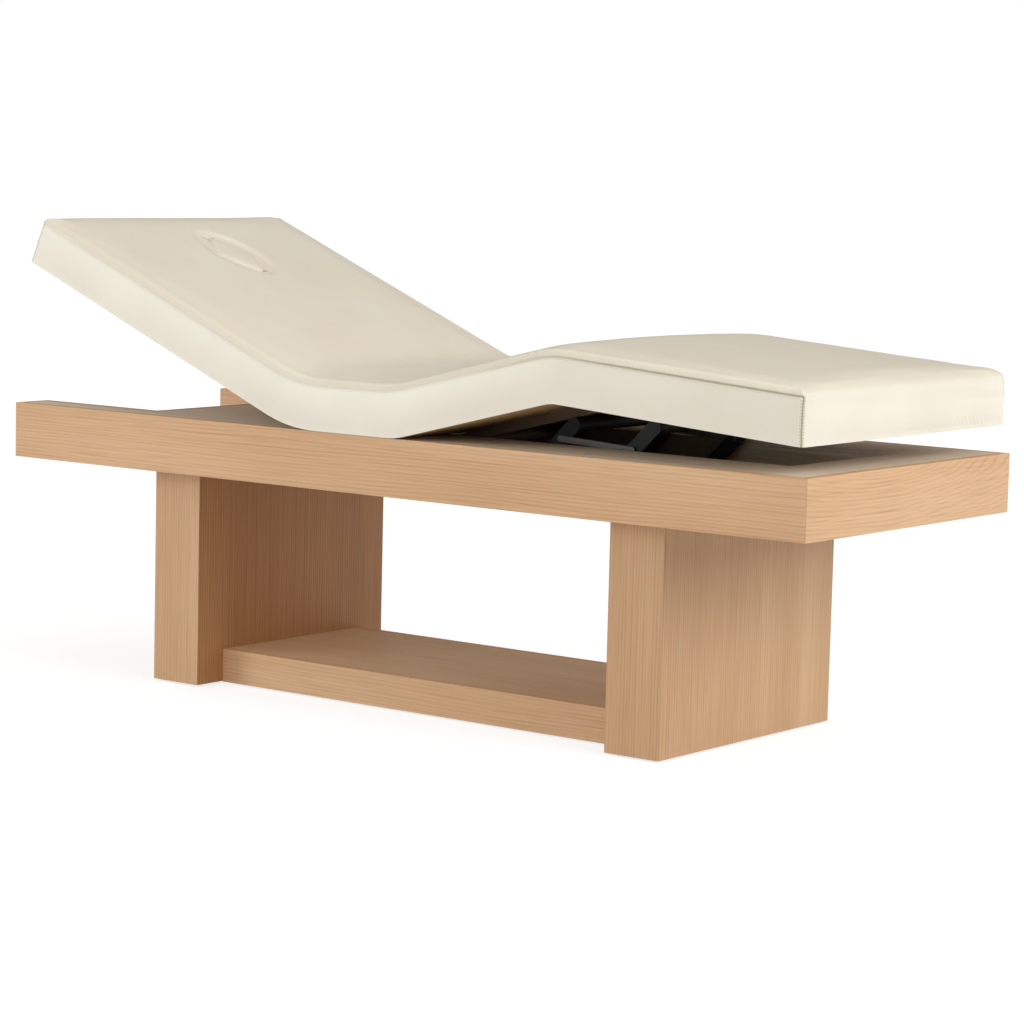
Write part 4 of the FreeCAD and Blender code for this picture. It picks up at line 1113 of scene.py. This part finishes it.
    def oval(self, angle: float, inset: float) -> tuple:
        """A point of the face hole's pointed oval, or of one that lies inside it.

        Args:
            angle: The way to the point from the oval's middle.
            inset: How far the oval lies inside the hole's edge.

        Returns:
            Its places along and across.
        """
        across = math.sin(angle)
        across = math.copysign(abs(across) ** self.oval_power, across)
        return math.cos(angle) * (self.plug_half_length - inset), across * (self.plug_half_width - inset)

    def oval_stack(self, rings: list) -> Mesh:
        """A pointed oval column that stands in the back section.

        Args:
            rings: How far each ring lies inside the hole's edge, and its height.

        Returns:
            The closed column.
        """
        mesh = bmesh.new()
        for vertex in column(mesh, 96, rings, self.oval):
            x, y, h = vertex.co
            vertex.co = self.line.on_back(x - self.line.back_length + self.plug_centre, y, h)
        bmesh.ops.recalc_face_normals(mesh, faces=mesh.faces)
        return mesh

    def pierce(self, piece: Piece, finish: Material) -> None:
        """Cut the face hole through the back piece, with a rolled upper rim.

        Args:
            piece: The back piece.
            finish: Its vinyl.
        """
        top = self.hole_top()
        rings = [(0.0, 10 * MM)]
        for turn in map(math.radians, (0, 20, 40, 60, 78)):
            rings.append((-self.roll * (1 - math.cos(turn)), top - self.roll * (1 - math.sin(turn))))
        rings.append((-self.roll, top + 6 * MM))
        cutter = finish_mesh("hole_cutter", self.oval_stack(rings), finish, 60.0)
        knife = piece.modifiers.new("hole", "BOOLEAN")
        knife.operation = "DIFFERENCE"
        knife.solver = "EXACT"
        knife.object = cutter
        graph = bpy.context.evaluated_depsgraph_get()
        cut = bpy.data.meshes.new_from_object(piece.evaluated_get(graph))
        piece.modifiers.clear()
        piece.data = cut
        discard(cutter)

    def plug(self, finish: Material) -> None:
        """The stuffed plug of the face hole, domed a little over the top round it.

        Args:
            finish: Its vinyl.
        """
        top = self.line.crest + self.crown + self.plug_proud
        rings = [(9.5 * MM, self.line.under + 0.2 * MM), (9.2 * MM, self.board_top),
                 (self.plug_gap, self.board_top + 0.4 * MM)]
        for inset in self.dome_steps:
            broad = self.dome * (1 - inset / self.dome_steps[-1]) ** 2
            drop = broad + self.dome_edge * math.exp(-inset / 1.7)
            rings.append((self.plug_gap + inset * MM, top - drop * MM))
        piece = finish_mesh("face_hole_plug", self.oval_stack(rings), finish, 60.0)
        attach(piece, "face_plug")
        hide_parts("face_plug")
        LOG.info("stuffed the face hole plug")

    def build(self, finish: Material) -> None:
        """Build the three pieces that bend with the hinges, and the plug.

        Args:
            finish: Their vinyl.
        """
        whole = self.box()
        self.shaped(whole)
        whole.verts.index_update()
        whole = AirFill().swollen(whole, self.sewn(whole), finish)
        self.worked(whole)
        marks = self.line.marks
        mid_seat = (marks["hip_end"] + marks["thigh_start"]) / 2
        mid_thigh = (marks["thigh_end"] + marks["knee_start"]) / 2
        stretches = (
            ("mattress_back", 0.0, mid_seat, "back", "base", "hip", (12 * MM, 26 * MM),
             ("back_cushion", "hip_fold")),
            ("mattress_seat", mid_seat, mid_thigh, "base", "thigh", "thigh", (8 * MM, 8 * MM),
             ("seat_cushion", "thigh_fold")),
            ("mattress_legs", mid_thigh, self.line.length, "thigh", "leg", "knee", (12 * MM, 12 * MM),
             ("thigh_cushion", "knee_fold", "leg_cushion")),
        )
        for name, start, end, first, second, bend, (before, after), nodes in stretches:
            piece = finish_mesh(name, self.portion(whole, start, end), finish, 50.0)
            if name == "mattress_back":
                self.pierce(piece, finish)
            places = (marks[bend + "_start"] - before, marks[bend + "_end"] + after)
            low, high = [self.line.bent(Vector((place, 0, 70 * MM))) for place in places]
            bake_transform(piece, first, second, start=low, end=high)
            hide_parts(*nodes)
            LOG.info("upholstered %s", name)
        whole.free()
        self.plug(finish)


# Gear under the mattress


@dataclass
class LiftGear:
    """The steel frame, levers, arms and drives, with the small fittings that hold them."""

    painted: tuple = ("back_rails", "thigh_lift_arms", "thigh_lift_bar", "leg_lift_arms", "leg_lift_bar")
    enamelled: tuple = ("side_plates", "back_hinge_tube", "thigh_hinge_tube", "thigh_rails", "leg_rails",
                        "leg_cams", "thigh_lift_shaft", "leg_lift_shaft", "actuator_cross_tubes")
    turned: tuple = ("back_pivot_shaft", "thigh_pivot_shaft", "knee_pins")
    plated: tuple = ("tie_bars", "back_actuator_rod", "thigh_actuator_rod", "slab_bolts")
    moulded: tuple = ("back_actuator_body", "thigh_actuator_body", "control_box", "mains_inlet")
    boards: tuple = ("seat_board", "back_board", "thigh_board", "leg_board")
    plate_inner: float = 191 * MM
    screw_places: tuple = (-0.170, -0.090, 0.000, 0.150, 0.330)
    screw_height: float = 0.520
    # Radius and height of a washer and the domed head on it, in millimetres
    screw_rings: tuple = ((8.5, 0.0), (8.5, 1.2), (6.5, 1.3), (6.5, 2.2), (5.2, 3.6), (2.6, 4.2))

    def plate_screws(self, finish: Material) -> None:
        """Domed screws with washers that hold the side plates to the well.

        Args:
            finish: Their metal.
        """
        mesh = bmesh.new()
        rings = [(radius * MM, height * MM) for radius, height in self.screw_rings]
        for side in Side:
            inward = Vector((0, -side.value, 0)).to_track_quat("Z", "Y").to_matrix().to_4x4()
            for x in self.screw_places:
                made = column(mesh, 20, rings, on_circle)
                at = Matrix.Translation((x, side.value * self.plate_inner, self.screw_height))
                bmesh.ops.transform(mesh, matrix=at @ inward, verts=made)
        bmesh.ops.recalc_face_normals(mesh, faces=mesh.faces)
        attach(finish_mesh("side_plate_screws", mesh, finish), "base")
        LOG.info("fitted the side plate screws")

    def build(self) -> None:
        """Dress the gear and add its fittings."""
        zinc = CoatedMetal("zinc_plated_steel", "#6C6762", "#5A5652", 1.0, 0.5, 0.03 * MM).material()
        dress(self.painted, CoatedMetal("powder_coated_steel", "#0D0D0E", "#161617", 0.0, 0.62).material())
        dress(self.enamelled, CoatedMetal("taupe_enamelled_steel", "#75614D", "#85705B", 0.0, 0.6).material())
        dress(self.turned, CoatedMetal("turned_steel", "#A6A8AB", "#8A8C8F", 1.0, 0.32, 0.02 * MM).material())
        dress(self.plated, zinc)
        dress(self.moulded, MouldedPlastic("drive_housing_abs", "#202124", "#303236").material())
        dress(("lift_bushes",), MouldedPlastic("nylon_bush", "#D9D6CC", "#C6C1B2", 0.45).material())
        dress(("floor_glides",), MouldedPlastic("glide_polythene", "#2A2A2B", "#3C3B39", 0.6).material())
        dress(self.boards, Plywood("birch_board", "#C4A57C", "#A88860").material())
        self.plate_screws(zinc)


# The studio


@dataclass(frozen=True)
class SoftBox:
    """A square soft box: where it hangs, the length of its side, its power in watts and its tint."""

    name: str
    at: tuple
    size: float
    power: float
    colour: tuple = (0.93, 0.97, 1.0)
    aim: tuple = (0.0, 0.0, 0.55)

    def hang(self) -> None:
        """Hang the lamp, turned to the bed."""
        data = bpy.data.lights.new(self.name, "AREA")
        data.shape = "SQUARE"
        data.size = self.size
        data.energy = self.power
        data.color = self.colour
        turn = (Vector(self.aim) - Vector(self.at)).to_track_quat("-Z", "Y").to_matrix().to_4x4()
        placed(self.name, data).matrix_world = Matrix.Translation(self.at) @ turn


@dataclass
class Studio:
    """Floor, light and the photograph's camera."""

    camera_place: tuple = (3.971, -5.1317, 1.1432)
    yaw: float = math.radians(37.284)
    pitch: float = math.radians(6.581)
    roll: float = math.radians(1.392)
    lens: float = 111.73
    sensor: float = 36.0
    far_clip: float = 200.0
    floor_half: float = 60.0
    # The floor's own light rises between these distances from the bed, so that the far floor is plain white
    glow_places: tuple = (1.2, 4.5)
    glow_levels: tuple = (3.74, 4.2)
    # The shares of it that the camera and mirrored rays see; no other ray meets it
    glow_seen: float = 0.2
    glow_mirrored: float = 0.32
    air: tuple = (1.0, 0.975, 0.93, 1.0)
    air_levels: tuple = (0.14, 0.68)
    lamps: tuple = (
        SoftBox("head_soft_box", (-4.6, -5.2, 1.6), 2.8, 112.0),
        SoftBox("near_soft_box", (0.0, -6.5, 2.7), 4.4, 96.0),
        SoftBox("foot_soft_box", (5.2, -0.5, 2.9), 3.0, 148.0),
        SoftBox("far_soft_box", (4.4, 4.6, 1.9), 3.4, 54.0),
        SoftBox("top_soft_box", (0.5, 0.0, 4.5), 3.0, 20.0, (1.0, 1.0, 1.0)),
    )

    def camera(self) -> None:
        """Stand the camera where the photograph was taken from."""
        ahead = Vector((-math.sin(self.yaw) * math.cos(self.pitch), math.cos(self.yaw) * math.cos(self.pitch),
                        -math.sin(self.pitch)))
        level = Vector((math.cos(self.yaw), math.sin(self.yaw), 0.0))
        above = level.cross(ahead)
        right = level * math.cos(self.roll) + above * math.sin(self.roll)
        up = above * math.cos(self.roll) - level * math.sin(self.roll)
        data = bpy.data.cameras.new("photo_camera")
        data.sensor_width = self.sensor
        data.lens = self.lens
        data.clip_end = self.far_clip
        eye = placed("photo_camera", data)
        turn = Matrix((right, up, -ahead)).transposed().to_4x4()
        eye.matrix_world = Matrix.Translation(self.camera_place) @ turn
        bpy.context.scene.camera = eye

    def floor_white(self) -> Material:
        """Matt white paper that keeps the shadow of the bed and glows to plain white round it.

        Returns:
            The material.
        """
        sheet = Sheet(bpy.data.materials.new("studio_white"))
        paint = sheet.add("ShaderNodeBsdfDiffuse", {"Color": (0.5, 0.5, 0.5, 1.0)})
        away = sheet.add("ShaderNodeVectorMath", {0: sheet.place()}, operation="LENGTH").outputs["Value"]
        level = sheet.spread(away, self.glow_places, self.glow_levels)
        glow = sheet.add("ShaderNodeEmission", {"Color": WHITE, "Strength": level})
        path = sheet.add("ShaderNodeLightPath").outputs
        mirrored = sheet.sums("MULTIPLY", path["Is Glossy Ray"], self.glow_mirrored)
        share = sheet.sums("MULTIPLY_ADD", path["Is Camera Ray"], self.glow_seen, mirrored)
        both = sheet.add("ShaderNodeMixShader", {0: share, 1: paint.outputs[0], 2: glow.outputs[0]})
        sheet.add("ShaderNodeOutputMaterial", {"Surface": both.outputs[0]})
        return sheet.owner

    def floor(self) -> None:
        """A plain white floor under the bed."""
        mesh = bmesh.new()
        bmesh.ops.create_grid(mesh, x_segments=2, y_segments=2, size=self.floor_half)
        data = bpy.data.meshes.new("studio_floor")
        mesh.to_mesh(data)
        mesh.free()
        data.materials.append(self.floor_white())
        placed("studio_floor", data)

    def light(self) -> None:
        """Warm air that brightens upwards and is seen as plain white, and the soft boxes."""
        sheet = Sheet(bpy.data.worlds.new("studio_air"))
        way = sheet.add("ShaderNodeSeparateXYZ", {"Vector": sheet.place()})
        level = sheet.spread(way.outputs["Z"], to=self.air_levels)
        air = sheet.add("ShaderNodeBackground", {"Color": self.air, "Strength": level})
        white = sheet.add("ShaderNodeBackground", {"Color": WHITE, "Strength": 1.0})
        path = sheet.add("ShaderNodeLightPath").outputs
        seen = sheet.sums("MAXIMUM", path["Is Camera Ray"], path["Is Transmission Ray"])
        both = sheet.add("ShaderNodeMixShader", {0: seen, 1: air.outputs[0], 2: white.outputs[0]})
        sheet.add("ShaderNodeOutputWorld", {"Surface": both.outputs[0]})
        bpy.context.scene.world = sheet.owner
        for lamp in self.lamps:
            lamp.hang()

    def build(self) -> None:
        """Set up floor, light, camera and colour."""
        self.camera()
        self.floor()
        self.light()
        bpy.context.scene.view_settings.view_transform = "Standard"
        LOG.info("set up the studio")


def main() -> None:
    """Build the bed and its studio."""
    logging.basicConfig(level=logging.INFO, format="%(name)s: %(message)s")
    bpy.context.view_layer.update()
    Studio().build()
    WoodenBase().build()
    LiftGear().build()
    Mattress(BedLine()).build(CreamVinyl().material())
    LOG.info("sizes written")


if __name__ == "__main__":
    main()
